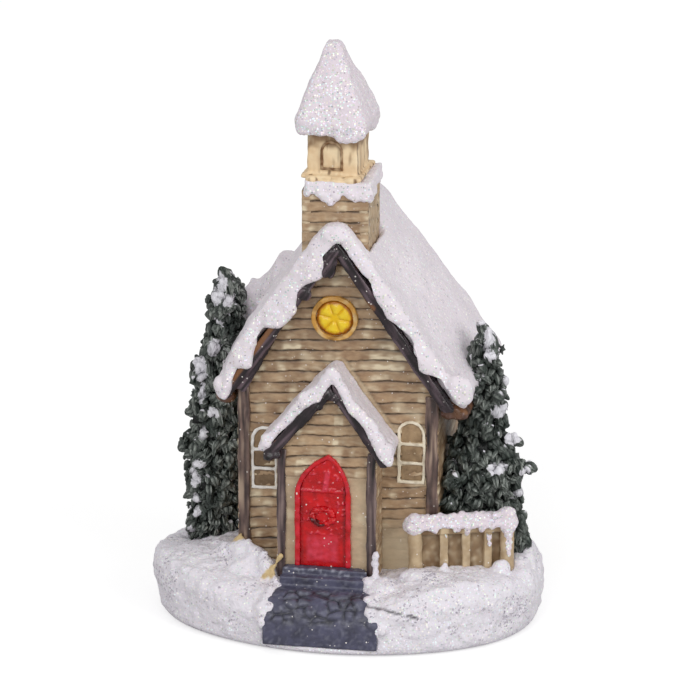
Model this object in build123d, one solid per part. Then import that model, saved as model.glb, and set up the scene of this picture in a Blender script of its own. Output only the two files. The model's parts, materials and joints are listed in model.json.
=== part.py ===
from build123d import *
import math
import os

# A free-standing village church figurine with a battery light, in millimetres.
# +X is right, +Y is back and +Z is up. The door looks along -Y.
# The origin is the centre of the base's underside.

# Snowy base, as long as the house with room for a tree on each side
# Its depth and height follow the light module that it holds
BASE_SIDE = 17.9
BASE_RIM = 5.0
BASE_CEILING = 2.1
BASE_END_RADIUS = 19.0
BASE_TOP_ROUND = 6.5
BASE_FOOT_ROUND = 2.2

# Snow heaped on the base, as (x, y, reach, height) of shallow domes
BANK_RISE = 3.6
BANKS = (
    (-24.0, -3.0, 14.0, 2.4),
    (-17.2, -9.6, 5.0, 3.2),
    (21.0, -11.0, 12.5, 2.3),
    (28.0, 4.0, 13.0, 3.2),
    (-6.0, 19.0, 12.0, 1.8),
)

# House body, a hollow casting
HOUSE_X = -0.8
HOUSE_FRONT = -6.5
HOUSE_WIDTH = 37.2
HOUSE_DEPTH = 22.8
WALL_HEIGHT = 34.5
WALL_THICKNESS = 2.4
POST_WIDTH = 2.2
POST_PROUD = 0.8

# Main roof
ROOF_PITCH = 55.5
DECK_THICKNESS = 1.8
EAVE_OVERHANG = 3.2
GABLE_OVERHANG = 1.6
BOARD_THICKNESS = 1.4
BOARD_DROP = 0.1
EAVE_CUT = 2.0
ROOF_SNOW = 3.0
ROOF_SNOW_LIP = 1.9
ROOF_DRIFT = 0.5
ROOF_RIDGE_ROUND = 2.4
DRIFT_X = -12.6
DRIFT_HEIGHT = 42.1
DRIFT_RADIUS = 9.8
DRIFT_LENGTH = 9.0
DRIFT_ROUND = 3.0

# Porch, placed from the middle of the house and half as wide
PORCH_OFFSET = -1.0
PORCH_WIDTH = HOUSE_WIDTH * 46 / 93
PORCH_DEPTH = 6.5
PORCH_WALL_HEIGHT = 25.2
PORCH_PITCH = 52.0
PORCH_DECK = 1.4
PORCH_EAVE = 2.2
PORCH_GABLE = 0.4
PORCH_BOARD = 1.2
PORCH_BOARD_DROP = 0.6
PORCH_CUT = 2.2
PORCH_SNOW = 1.4
PORCH_SNOW_LIP = 1.5
PORCH_DRIFT = 0.4
PORCH_RIDGE_ROUND = 1.6
PORCH_POST_WIDTH = 1.7
PORCH_POST_PROUD = 0.7

# Door and wreath, placed from the middle of the porch
DOOR_OFFSET = -0.6
DOOR_WIDTH = 9.8
DOOR_HEIGHT = 22.0
DOOR_ARCH_RISE = 8.6
DOOR_FRAME = 0.9
DOOR_FRAME_PROUD = 0.9
DOOR_LEAF_PROUD = 0.5
WREATH_HEIGHT = 9.9
WREATH_RADIUS = 1.9
WREATH_THICKNESS = 0.75

# Arched side windows, each a seventh of the house and a gap away from its corner post
WINDOW_WIDTH = HOUSE_WIDTH * 13 / 93
WINDOW_HEIGHT = 12.4
WINDOW_BAR = 0.7
WINDOW_ROW = 3.7
WINDOW_PROUD = 0.5
PANE_PROUD = 0.15
WINDOW_GAP = 0.1
WINDOW_LEFT_SILL = 14.4
WINDOW_RIGHT_SILL = 17.2

# Round window, placed from the top of the gable
ROSE_OFFSET = -0.5
ROSE_DROP = 12.9
ROSE_BORE = 3.5
ROSE_RING = 0.8
ROSE_RING_PROUD = 0.9
ROSE_LENS_PROUD = 0.6
ROSE_DOME = 0.5

# Tower, belfry and spire
TOWER_OFFSET = -0.6
TOWER_SETBACK = 0.4
TOWER_WIDTH = 12.2
TOWER_RISE = 7.9
LEDGE_OVERHANG = 0.6
LEDGE_SKIRT = 0.5
LEDGE_THICKNESS = 2.0
BELFRY_OFFSET = -0.5
BELFRY_WIDTH = 9.3
BELFRY_HEIGHT = 8.2
BELFRY_PLATE = 0.8
BELFRY_PLATE_OVERHANG = 1.0
BELFRY_TURN = -4.0
BELFRY_WINDOW_WIDTH = 4.2
BELFRY_WINDOW_HEIGHT = 5.6
BELFRY_WINDOW_BAR = 0.5
BELFRY_WINDOW_PROUD = 0.35
PEG_RADIUS = 2.4
PEG_LENGTH = 3.0
SPIRE_OVERHANG = 2.2
SPIRE_HEIGHT = 16.8
SPIRE_SKIRT = 0.9
SPIRE_BELLY = 2.6
SPIRE_TIP = 3.6
SPIRE_LEAN = -0.9
SPIRE_ROUND = 1.7

# Steps and stone path, placed from the middle of the porch
STEPS_OFFSET = -0.2
LANDING_WIDTH = 14.6
PATH_WIDTH = 21.6
LANDING_DEPTH = 2.0
STEP_RISE = 1.25
STEP_RUN = 1.6
PATH_LEAN = 0.9
PATH_SINK = 0.5
PATH_BOTTOM = 1.6
PATH_THICKNESS = 2.6

# Picket fence, starting in front of the house's right corner
FENCE_OVERLAP = 3.6
FENCE_Y = -10.0
FENCE_ANGLE = 17.0
FENCE_LENGTH = 17.0
FENCE_HEIGHT = 10.4
FENCE_POST_RADIUS = 1.3
PICKET_COUNT = 3
PICKET_START = 0.31
PICKET_STEP = 0.24
PICKET_WIDTH = 1.5
PICKET_THICKNESS = 1.2
FENCE_PANEL = 0.9
RAIL_HEIGHT = 1.8
RAIL_THICKNESS = 2.0
RAIL_SNOW = 1.9
POST_SNOW_RADIUS = 2.1

# Conifers beside the house walls, the right one pressed into its wall, and a bush at the end of the fence
LEFT_TREE_GAP = 1.0
LEFT_TREE_Y = 7.0
LEFT_TREE_HEIGHT = 52.6
LEFT_TREE_RADIUS = 6.8
LEFT_TREE_LEAN = 3.2
LEFT_TREE_SKIRTS = ((0.0, 0.86), (0.14, 0.93), (0.29, 1.0), (0.45, 0.92), (0.59, 0.86), (0.76, 0.56))
RIGHT_TREE_SINK = 0.9
RIGHT_TREE_FENCE_GAP = 0.5
RIGHT_TREE_HEIGHT = 45.4
RIGHT_TREE_RADIUS = 7.3
RIGHT_TREE_LEAN = -0.7
RIGHT_TREE_SKIRTS = ((0.0, 0.92), (0.16, 0.97), (0.34, 1.0), (0.52, 0.9), (0.68, 0.7), (0.82, 0.4))
TREE_TIP_RADIUS = 1.2
SKIRT_PINCH = 1.5
SKIRT_FLARE = 0.3
TREE_PEG_RADIUS = 1.8
TREE_PEG_LENGTH = 3.0
BUSH_RADIUS = 2.6
BUSH_HEIGHT = 9.4
BUSH_PAST = 2.3
BUSH_BACK = 4.6

# Light module in the base, sized by the battery well and the switch
MODULE_Y = 0.9
MODULE_WALL = 1.0
MODULE_RECESS = 0.8
MODULE_CLEARANCE = 0.3
FLANGE_REACH = 1.5
FLANGE_THICKNESS = 1.2
LIGHT_HOLE_RADIUS = 5.0
CIRCUIT_THICKNESS = 1.0
CIRCUIT_INSET = 0.5
CEILING_GAP = 0.1
LED_RADIUS = 2.5
LED_FLANGE_RADIUS = 2.9
LED_FLANGE_HEIGHT = 1.0
LED_HEIGHT = 8.6

# Battery well, coin cell and bayonet cover
WELL_OFFSET = -3.0
CELL_RADIUS = 10.0
CELL_THICKNESS = 3.2
CELL_GAP = 0.6
CELL_RIM_INSET = 1.2
CELL_RIM_STEP = 0.4
WELL_ROOF = 1.2
COVER_GAP = 0.2
COVER_INSET = 0.1
COVER_THICKNESS = 1.4
COVER_BOSS_RADIUS = 6.0
COVER_BOSS = 0.3
COIN_SLOT_LENGTH = 12.0
COIN_SLOT_WIDTH = 1.8
COIN_SLOT_DEPTH = 0.7
LUG_REACH = 0.9
LUG_ARC = 36.0
LUG_THICKNESS = 0.6
LUG_LIFT = 0.6
LUG_PLAY = 0.1
ENTRY_PLAY = 4.0
COVER_TWIST = 60.0
SPRING_RISE = 0.8
SPRING_LENGTH = 9.0
SPRING_WIDTH = 2.4
STRIP_THICKNESS = 0.2
CLIP_ARC = 40.0

# Slide switch behind the battery well
SWITCH_WALL = 1.0
SWITCH_LENGTH = 8.6
SWITCH_WIDTH = 3.7
SWITCH_HEIGHT = 3.4
SWITCH_FIT = 0.1
SLIDER_LENGTH = 1.4
SLIDER_WIDTH = 1.5
SLIDER_PROUD = 0.45
SLIDER_SINK = 1.2
SLIDER_TRAVEL = 2.0
SLIDER_PLAY = 0.15
PIN_COUNT = 3
PIN_PITCH = 2.5
PIN_SIZE = 0.5

# Light module, stacked up from its cover and out from its battery well
WELL_Y = MODULE_Y + WELL_OFFSET
WELL_RADIUS = CELL_RADIUS + CELL_GAP
COVER_RADIUS = WELL_RADIUS - COVER_GAP
COVER_BOTTOM = MODULE_RECESS + COVER_INSET
COVER_TOP = COVER_BOTTOM + COVER_THICKNESS
CELL_BOTTOM = COVER_TOP + COVER_BOSS
CELL_TOP = CELL_BOTTOM + CELL_THICKNESS
WELL_TOP = CELL_TOP + SPRING_RISE
MODULE_TOP = WELL_TOP + WELL_ROOF
CIRCUIT_TOP = MODULE_TOP + CIRCUIT_THICKNESS
BORE_TOP = CIRCUIT_TOP + CEILING_GAP
GROOVE_RADIUS = COVER_RADIUS + LUG_REACH + COVER_GAP
MODULE_RADIUS = GROOVE_RADIUS + abs(WELL_OFFSET) + MODULE_WALL
FLANGE_RADIUS = MODULE_RADIUS + FLANGE_REACH
FLANGE_TOP = MODULE_RECESS + FLANGE_THICKNESS
SWITCH_CENTRE_Y = WELL_Y + GROOVE_RADIUS + SWITCH_WALL + SWITCH_FIT + SWITCH_WIDTH / 2

# Base, house, porch and tower
BASE_HEIGHT = BORE_TOP + BASE_CEILING
BASE_DEPTH = 2 * (FLANGE_RADIUS + MODULE_CLEARANCE + BASE_RIM + BASE_FOOT_ROUND)
GROUND = BASE_HEIGHT
HOUSE_BACK = HOUSE_FRONT + HOUSE_DEPTH
HOUSE_LEFT = HOUSE_X - HOUSE_WIDTH / 2
HOUSE_RIGHT = HOUSE_X + HOUSE_WIDTH / 2
BASE_LENGTH = HOUSE_WIDTH + 2 * BASE_SIDE
FENCE_X = HOUSE_RIGHT - FENCE_OVERLAP
ROOF_SLOPE = math.tan(math.radians(ROOF_PITCH))
ROOF_UPRIGHT = 1.0 / math.cos(math.radians(ROOF_PITCH))
WALL_TOP = GROUND + WALL_HEIGHT
EAVE_LEVEL = WALL_TOP - EAVE_CUT
GABLE_TOP = WALL_TOP + HOUSE_WIDTH / 2 * ROOF_SLOPE
DECK_FRONT = HOUSE_FRONT - GABLE_OVERHANG
DECK_BACK = HOUSE_BACK + GABLE_OVERHANG
ROOF_FRONT = DECK_FRONT - BOARD_THICKNESS
ROOF_BACK = DECK_BACK + BOARD_THICKNESS
ROOF_RUN = HOUSE_WIDTH / 2 + EAVE_OVERHANG
RIDGE = GABLE_TOP + DECK_THICKNESS * ROOF_UPRIGHT
WINDOW_INSET = POST_WIDTH + WINDOW_GAP + WINDOW_WIDTH / 2
ROSE_X = HOUSE_X + ROSE_OFFSET
ROSE_Z = GABLE_TOP - ROSE_DROP
PORCH_X = HOUSE_X + PORCH_OFFSET
DOOR_X = PORCH_X + DOOR_OFFSET
STEPS_X = PORCH_X + STEPS_OFFSET
PORCH_FRONT = HOUSE_FRONT - PORCH_DEPTH
PORCH_SLOPE = math.tan(math.radians(PORCH_PITCH))
PORCH_UPRIGHT = 1.0 / math.cos(math.radians(PORCH_PITCH))
PORCH_TOP = GROUND + PORCH_WALL_HEIGHT + PORCH_WIDTH / 2 * PORCH_SLOPE
PORCH_DECK_FRONT = PORCH_FRONT - PORCH_GABLE
PORCH_RUN = PORCH_WIDTH / 2 + PORCH_EAVE
PORCH_LEVEL = GROUND + PORCH_WALL_HEIGHT - PORCH_CUT
THRESHOLD = GROUND + 2 * STEP_RISE
TOWER_X = HOUSE_X + TOWER_OFFSET
TOWER_FRONT = HOUSE_FRONT + TOWER_SETBACK
TOWER_Y = TOWER_FRONT + TOWER_WIDTH / 2
TOWER_TOP = RIDGE + TOWER_RISE
BELFRY_X = TOWER_X + BELFRY_OFFSET
BELFRY_BOTTOM = TOWER_TOP + LEDGE_THICKNESS
BELFRY_TOP = BELFRY_BOTTOM + BELFRY_PLATE + BELFRY_HEIGHT
SPIRE_WIDTH = BELFRY_WIDTH + 2 * SPIRE_OVERHANG
LEFT_TREE_X = HOUSE_LEFT - LEFT_TREE_GAP - LEFT_TREE_RADIUS
RIGHT_TREE_X = HOUSE_RIGHT - RIGHT_TREE_SINK + RIGHT_TREE_RADIUS
FENCE_BACK = PICKET_THICKNESS / 2 + FENCE_PANEL
RIGHT_TREE_OUT = FENCE_BACK + RIGHT_TREE_FENCE_GAP + RIGHT_TREE_RADIUS
FENCE_TURN = math.radians(FENCE_ANGLE)
FENCE_AT_TREE = FENCE_Y + (RIGHT_TREE_X - FENCE_X) * math.tan(FENCE_TURN)
RIGHT_TREE_Y = FENCE_AT_TREE + RIGHT_TREE_OUT / math.cos(FENCE_TURN)

FLAT = (Align.CENTER, Align.CENTER, Align.MIN)


def prism(points, y_front, y_back):
    """A closed outline of (x, z) points carried from y_front back to y_back."""
    outline = Polyline([(x, y_front, z) for x, z in points], close=True)
    return extrude(make_face(outline), amount=y_back - y_front, dir=(0, 1, 0))


def block(x_low, x_high, y_low, y_high, z_low, z_high):
    """A box between its corner values."""
    centre = Pos((x_low + x_high) / 2, (y_low + y_high) / 2, z_low)
    return centre * Box(x_high - x_low, y_high - y_low, z_high - z_low, align=FLAT)


def disc(radius, z_low, z_high, x=0.0, y=0.0):
    """An upright cylinder between two levels."""
    return Pos(x, y, z_low) * Cylinder(radius, z_high - z_low, align=FLAT)


def facing(radius, y_front, y_back, x, z):
    """A cylinder whose axis runs front to back."""
    return Pos(x, y_front, z) * Rot(-90, 0, 0) * Cylinder(radius, y_back - y_front, align=FLAT)


def gable_outline(centre, half_width, floor, top, slope):
    """Five corners of a wall with a gable, from the floor up."""
    eave = top - half_width * slope
    left, right = centre - half_width, centre + half_width
    return [(left, floor), (right, floor), (right, eave), (centre, top), (left, eave)]


def deck_outline(centre, run, top, slope, thickness):
    """An inverted V of even upright thickness with plumb ends."""
    eave = top - run * slope
    left, right = centre - run, centre + run
    under = [(left, eave), (centre, top), (right, eave)]
    return under + [(x, z + thickness) for x, z in reversed(under)]


def arch_face(x, z, width, height, rise, y):
    """A pointed or round-headed opening standing on z, as a face at depth y."""
    half = width / 2
    spring = z + height - rise
    centre = (rise * rise - half * half) / (2 * half)
    radius = half + centre
    swing = math.atan2(rise, centre) / 2
    shoulder_x = radius * math.cos(swing) - centre
    shoulder_z = spring + radius * math.sin(swing)
    foot_left, foot_right = (x - half, y, z), (x + half, y, z)
    spring_left, spring_right = (x - half, y, spring), (x + half, y, spring)
    crown = (x, y, z + height)
    edges = [
        Line(foot_left, foot_right),
        Line(foot_right, spring_right),
        ThreePointArc(spring_right, (x + shoulder_x, y, shoulder_z), crown),
        ThreePointArc(crown, (x - shoulder_x, y, shoulder_z), spring_left),
        Line(spring_left, foot_left),
    ]
    return make_face(edges)


def arch_plate(x, z, width, height, rise, y_back, proud):
    """An arched plate that stands proud of the wall at y_back."""
    return extrude(arch_face(x, z, width, height, rise, y_back), amount=proud, dir=(0, -1, 0))


def sector(radius, z_low, z_high, middle, arc, y):
    """A pie slice of a disc about (0, y), centred on the angle middle."""
    half = math.radians(arc / 2)
    turn = math.radians(middle)
    angles = (turn - half, turn, turn + half)
    tips = [(radius * math.cos(a), y + radius * math.sin(a), z_low) for a in angles]
    hub = (0.0, y, z_low)
    edges = [Line(hub, tips[0]), ThreePointArc(*tips), Line(tips[2], hub)]
    return extrude(make_face(edges), amount=z_high - z_low, dir=(0, 0, 1))


def base_blank(height):
    """A rounded oval slab, its plan made of four tangent arcs."""
    half_length, half_depth = BASE_LENGTH / 2, BASE_DEPTH / 2
    end_centre = half_length - BASE_END_RADIUS
    side_radius = (end_centre**2 + half_depth**2 - BASE_END_RADIUS**2) / (2 * (half_depth - BASE_END_RADIUS))
    reach = BASE_END_RADIUS / (side_radius - BASE_END_RADIUS)
    meet_x = end_centre * (1 + reach)
    meet_y = (side_radius - half_depth) * reach
    edges = [
        ThreePointArc((meet_x, -meet_y), (half_length, 0), (meet_x, meet_y)),
        ThreePointArc((meet_x, meet_y), (0, half_depth), (-meet_x, meet_y)),
        ThreePointArc((-meet_x, meet_y), (-half_length, 0), (-meet_x, -meet_y)),
        ThreePointArc((-meet_x, -meet_y), (0, -half_depth), (meet_x, -meet_y)),
    ]
    slab = extrude(make_face(edges), amount=height, dir=(0, 0, 1))
    levels = slab.faces().sort_by(Axis.Z)
    slab = fillet(levels[-1].edges(), BASE_TOP_ROUND)
    return fillet(slab.faces().sort_by(Axis.Z)[0].edges(), BASE_FOOT_ROUND)


def path_plan():
    """The path seen from above, widening from the landing to the base's edge, as a tall column."""
    front = -BASE_DEPTH / 2
    plan = [
        (STEPS_X - LANDING_WIDTH / 2, PORCH_FRONT),
        (STEPS_X + LANDING_WIDTH / 2, PORCH_FRONT),
        (STEPS_X + PATH_LEAN + PATH_WIDTH / 2, front),
        (STEPS_X + PATH_LEAN - PATH_WIDTH / 2, front),
    ]
    return extrude(make_face(Polyline(plan, close=True)), amount=2 * THRESHOLD, dir=(0, 0, 1))


def path_bed():
    """Underside of the steps and path, from the porch down to the foot, as (y, z) points."""
    inner = PATH_THICKNESS - BASE_DEPTH / 2
    return [(inner, PATH_BOTTOM), (inner + BASE_TOP_ROUND, GROUND), (PORCH_FRONT, GROUND)]


def across(side_points, arc_middle=None):
    """A (y, z) side profile carried across the path; the last stretch may bend through arc_middle."""
    x = STEPS_X - PATH_WIDTH
    points = [(x, y, z) for y, z in side_points]
    edges = [Line(a, b) for a, b in zip(points, points[1:])]
    if arc_middle is None:
        edges.append(Line(points[-1], points[0]))
    else:
        edges.append(ThreePointArc(points[-1], (x, *arc_middle), points[0]))
    return extrude(make_face(edges), amount=2 * PATH_WIDTH, dir=(1, 0, 0))


def stone_steps():
    """Landing, one tread and a path that follows the base's rounded shoulder."""
    nose = PORCH_FRONT - LANDING_DEPTH
    tread = nose - STEP_RUN
    front = PATH_SINK - BASE_DEPTH / 2
    bend = BASE_TOP_ROUND - PATH_SINK
    centre_y, centre_z = front + bend, GROUND - PATH_SINK - bend
    middle = (centre_y - bend * math.sin(math.pi / 4), centre_z + bend * math.cos(math.pi / 4))
    steps = [
        (PORCH_FRONT, THRESHOLD),
        (nose, THRESHOLD),
        (nose, THRESHOLD - STEP_RISE),
        (tread, THRESHOLD - STEP_RISE),
        (tread, GROUND - PATH_SINK),
        (centre_y, GROUND - PATH_SINK),
    ]
    return across([(front, centre_z), (front, PATH_BOTTOM)] + path_bed() + steps, middle) & path_plan()


def path_trench():
    """All that is cleared from the base for the steps and the path."""
    edge = -BASE_DEPTH / 2
    cleared = [(PORCH_FRONT, THRESHOLD), (edge, THRESHOLD), (edge, PATH_BOTTOM)]
    return across(cleared + path_bed()) & path_plan()


def house_walls():
    """Gabled shell, open below for the light, bored for the round window."""
    half = HOUSE_WIDTH / 2
    outer = prism(gable_outline(HOUSE_X, half, GROUND, GABLE_TOP, ROOF_SLOPE), HOUSE_FRONT, HOUSE_BACK)
    inner_top = GABLE_TOP - WALL_THICKNESS * ROOF_UPRIGHT
    hollow = gable_outline(HOUSE_X, half - WALL_THICKNESS, GROUND, inner_top, ROOF_SLOPE)
    shell = outer - prism(hollow, HOUSE_FRONT + WALL_THICKNESS, HOUSE_BACK - WALL_THICKNESS)
    return shell - facing(ROSE_BORE, HOUSE_FRONT, HOUSE_FRONT + WALL_THICKNESS, ROSE_X, ROSE_Z)


def corner_post(side, y_low, y_high):
    """A timber strip at one corner of the house; side is -1 for left and 1 for right."""
    outer = HOUSE_X + side * HOUSE_WIDTH / 2
    inner = outer - side * POST_WIDTH
    return block(min(outer, inner), max(outer, inner), y_low, y_high, GROUND, WALL_TOP)


def half_of(solid, centre, side, reach):
    """The part of a solid on one side of the plane x = centre."""
    edge = centre + side * reach
    keep = block(min(centre, edge), max(centre, edge), -reach, reach, -reach, reach)
    return solid & keep


def above(solid, level):
    """The part of a solid over a level, as a level cut at the eaves."""
    reach = BASE_LENGTH + TOWER_TOP
    return solid & block(-reach, reach, -reach, reach, level, level + reach)


def bargeboards(centre, run, top, slope, upright, thickness, drop, level, y_low, y_high):
    """Left and right boards along a gable's slopes, mitred at the ridge and cut level at the eaves."""
    outline = deck_outline(centre, run, top - drop * upright, slope, (thickness + drop) * upright)
    pair = above(prism(outline, y_low, y_high), level)
    reach = BASE_LENGTH + top
    return half_of(pair, centre, -1, reach), half_of(pair, centre, 1, reach)


def roof_body():
    """Everything below the top of the main roof deck, used to seat what stands on it."""
    return prism(
        [(HOUSE_X - ROOF_RUN, GROUND), (HOUSE_X + ROOF_RUN, GROUND),
         (HOUSE_X + ROOF_RUN, RIDGE - ROOF_RUN * ROOF_SLOPE), (HOUSE_X, RIDGE),
         (HOUSE_X - ROOF_RUN, RIDGE - ROOF_RUN * ROOF_SLOPE)],
        ROOF_FRONT, ROOF_BACK)


def snow_blanket(centre, run, ridge, slope, upright, depth, lip, drift, ridge_round, y_low, y_high):
    """Snow lying on a gabled deck, rolled over its eaves, with a drift on the left slope."""
    eave = ridge - run * slope
    crest = ridge + depth * upright
    lie = math.hypot(1.0, slope)
    out_x, out_z = depth * slope / lie, depth / lie
    right_end = (centre + run + out_x, y_low, eave + out_z)
    left_end = (centre - run - out_x, y_low, eave + out_z)
    swell_x = (centre + left_end[0]) / 2 - drift * slope / lie
    swell_z = (crest + left_end[2]) / 2 + drift / lie
    right_lip = (centre + run + lip * out_x / depth, y_low, eave)
    left_lip = (centre - run - lip * out_x / depth, y_low, eave)
    top = (centre, y_low, crest)
    edges = [
        Line((centre - run, y_low, eave), (centre, y_low, ridge)),
        Line((centre, y_low, ridge), (centre + run, y_low, eave)),
        Line((centre + run, y_low, eave), right_lip),
        Line(right_lip, right_end),
        Line(right_end, top),
        ThreePointArc(top, (swell_x, y_low, swell_z), left_end),
        Line(left_end, left_lip),
        Line(left_lip, (centre - run, y_low, eave)),
    ]
    blanket = extrude(make_face(edges), amount=y_high - y_low, dir=(0, 1, 0))
    crest_edge = blanket.edges().filter_by(Axis.Y).sort_by(Axis.Z)[-1]
    return fillet(crest_edge, ridge_round)


def back_drift():
    """A heap of snow at the back of the left slope."""
    front = ROOF_BACK - DRIFT_LENGTH
    x, z = HOUSE_X + DRIFT_X, GROUND + DRIFT_HEIGHT
    heap = facing(DRIFT_RADIUS, front, ROOF_BACK, x, z)
    rims = heap.edges().filter_by(GeomType.CIRCLE)
    return fillet(rims.sort_by(Axis.Y)[0], DRIFT_ROUND) - roof_body()


def porch_body():
    """Gabled porch, cast solid against the front of the house."""
    outline = gable_outline(PORCH_X, PORCH_WIDTH / 2, GROUND, PORCH_TOP, PORCH_SLOPE)
    return prism(outline, PORCH_FRONT, HOUSE_FRONT)


def porch_post(side):
    """A timber strip on the porch front; side is -1 for left and 1 for right."""
    outer = PORCH_X + side * PORCH_WIDTH / 2
    inner = outer - side * PORCH_POST_WIDTH
    face = PORCH_FRONT - PORCH_POST_PROUD
    top = GROUND + PORCH_WALL_HEIGHT
    return block(min(outer, inner), max(outer, inner), face, PORCH_FRONT, GROUND, top)


def door_pieces():
    """Pointed door frame, the leaf inside it and the wreath on the leaf."""
    inner_width = DOOR_WIDTH - 2 * DOOR_FRAME
    inner_rise = DOOR_ARCH_RISE * inner_width / DOOR_WIDTH
    inner = (DOOR_X, THRESHOLD, inner_width, DOOR_HEIGHT - DOOR_FRAME, inner_rise, PORCH_FRONT)
    outer = (DOOR_X, THRESHOLD, DOOR_WIDTH, DOOR_HEIGHT, DOOR_ARCH_RISE, PORCH_FRONT)
    surround = arch_plate(*outer, DOOR_FRAME_PROUD) - arch_plate(*inner, DOOR_FRAME_PROUD)
    leaf = arch_plate(*inner, DOOR_LEAF_PROUD)
    leaf_face = PORCH_FRONT - DOOR_LEAF_PROUD
    hook = THRESHOLD + WREATH_HEIGHT
    wreath = Pos(DOOR_X, leaf_face, hook) * Rot(90, 0, 0) * Torus(WREATH_RADIUS, WREATH_THICKNESS)
    reach = WREATH_RADIUS + WREATH_THICKNESS
    left, right = DOOR_X - reach, DOOR_X + reach
    front_half = block(left, right, leaf_face - reach, leaf_face, hook - reach, hook + reach)
    return surround, leaf, wreath & front_half


def arched_window(x, sill):
    """A window frame with two cross bars, and the three panes in it."""
    z = GROUND + sill
    half = WINDOW_WIDTH / 2
    frame = arch_plate(x, z, WINDOW_WIDTH, WINDOW_HEIGHT, half, HOUSE_FRONT, WINDOW_PROUD)
    pane_width = WINDOW_WIDTH - 2 * WINDOW_BAR
    left, right = x - pane_width / 2, x + pane_width / 2
    face = HOUSE_FRONT - WINDOW_PROUD
    openings = []
    for row in range(2):
        low = z + WINDOW_BAR + row * WINDOW_ROW
        openings.append(block(left, right, face, HOUSE_FRONT, low, low + WINDOW_ROW - WINDOW_BAR))
    head_low = z + WINDOW_BAR + 2 * WINDOW_ROW
    head_tall = z + WINDOW_HEIGHT - WINDOW_BAR - head_low
    head = (x, head_low, pane_width, head_tall, pane_width / 2, HOUSE_FRONT)
    openings.append(arch_plate(*head, WINDOW_PROUD))
    glazing = block(x - half, x + half, HOUSE_FRONT - PANE_PROUD, HOUSE_FRONT, z, z + WINDOW_HEIGHT)
    for opening in openings:
        frame -= opening
    return frame, [opening & glazing for opening in openings]


def rose_window():
    """Raised ring and the coloured lens that plugs the gable's bore."""
    ring_front = HOUSE_FRONT - ROSE_RING_PROUD
    ring = facing(ROSE_BORE + ROSE_RING, ring_front, HOUSE_FRONT, ROSE_X, ROSE_Z)
    ring -= facing(ROSE_BORE, ring_front, HOUSE_FRONT, ROSE_X, ROSE_Z)
    lens_front = HOUSE_FRONT - ROSE_LENS_PROUD
    lens = facing(ROSE_BORE, lens_front, HOUSE_FRONT + WALL_THICKNESS, ROSE_X, ROSE_Z)
    rim = lens.edges().filter_by(GeomType.CIRCLE).sort_by(Axis.Y)[0]
    return ring, chamfer(rim, ROSE_DOME)


def tower_shaft():
    """Square shaft astride the ridge, with a socket in its top for the belfry's peg."""
    half = TOWER_WIDTH / 2
    shaft = block(TOWER_X - half, TOWER_X + half, TOWER_FRONT, TOWER_FRONT + TOWER_WIDTH, GROUND, TOWER_TOP)
    socket = disc(PEG_RADIUS, TOWER_TOP - PEG_LENGTH, TOWER_TOP, BELFRY_X, TOWER_Y)
    return shaft - roof_body() - socket


def tower_ledge_snow(shaft):
    """Cap of snow over the tower's top edge, pierced by the belfry's peg."""
    width = TOWER_WIDTH + 2 * LEDGE_OVERHANG
    low = TOWER_TOP - LEDGE_SKIRT
    cap = Pos(TOWER_X, TOWER_Y, low) * Box(width, width, BELFRY_BOTTOM - low, align=FLAT)
    return cap - shaft - disc(PEG_RADIUS, TOWER_TOP - PEG_LENGTH, BELFRY_BOTTOM, BELFRY_X, TOWER_Y)


def on_belfry(z):
    """The belfry's own frame at a level, turned a little from the house."""
    return Location((BELFRY_X, TOWER_Y, z), (0, 0, BELFRY_TURN))


def belfry():
    """Flared plate and square bell chamber, with pegs above and below."""
    wide = BELFRY_WIDTH + 2 * BELFRY_PLATE_OVERHANG
    plate = on_belfry(BELFRY_BOTTOM) * Box(wide, wide, BELFRY_PLATE, align=FLAT)
    tall = BELFRY_TOP - BELFRY_BOTTOM
    chamber = on_belfry(BELFRY_BOTTOM) * Box(BELFRY_WIDTH, BELFRY_WIDTH, tall, align=FLAT)
    peg = disc(PEG_RADIUS, TOWER_TOP - PEG_LENGTH, BELFRY_TOP + PEG_LENGTH, BELFRY_X, TOWER_Y)
    return plate + chamber + peg


def belfry_window_frame():
    """Small round-headed frame on the bell chamber's front."""
    z = BELFRY_PLATE + (BELFRY_HEIGHT - BELFRY_WINDOW_HEIGHT) / 3
    wall = -BELFRY_WIDTH / 2
    half = BELFRY_WINDOW_WIDTH / 2
    frame = arch_plate(0, z, BELFRY_WINDOW_WIDTH, BELFRY_WINDOW_HEIGHT, half, wall, BELFRY_WINDOW_PROUD)
    bar = BELFRY_WINDOW_BAR
    wide = BELFRY_WINDOW_WIDTH - 2 * bar
    light = arch_plate(0, z + bar, wide, BELFRY_WINDOW_HEIGHT - 2 * bar, wide / 2, wall, BELFRY_WINDOW_PROUD)
    return on_belfry(BELFRY_BOTTOM) * (frame - light)


def spire_snow_cap(chamber):
    """Four-sided snowy spire that swells above its skirt and leans to the left."""
    low = BELFRY_TOP - SPIRE_SKIRT
    levels = [
        (low, SPIRE_WIDTH - 2 * SPIRE_ROUND, 0.0),
        (low + SPIRE_BELLY / 3, SPIRE_WIDTH - SPIRE_ROUND / 2, 0.0),
        (low + SPIRE_BELLY, SPIRE_WIDTH, 0.0),
        (low + SPIRE_HEIGHT, SPIRE_TIP, SPIRE_LEAN),
    ]
    sections = []
    for z, width, lean in levels:
        corner = SPIRE_ROUND * min(1.0, width / SPIRE_WIDTH + 0.2)
        sections.append(on_belfry(z) * Pos(lean, 0, 0) * RectangleRounded(width, width, corner))
    return loft(sections, ruled=True) - chamber


def fence_place(x=0.0, y=0.0, z=0.0):
    """A point of the fence's own frame: x along it from the left post, y towards the house."""
    return Location((FENCE_X, FENCE_Y, GROUND), (0, 0, FENCE_ANGLE)) * Pos(x, y, z)


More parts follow.
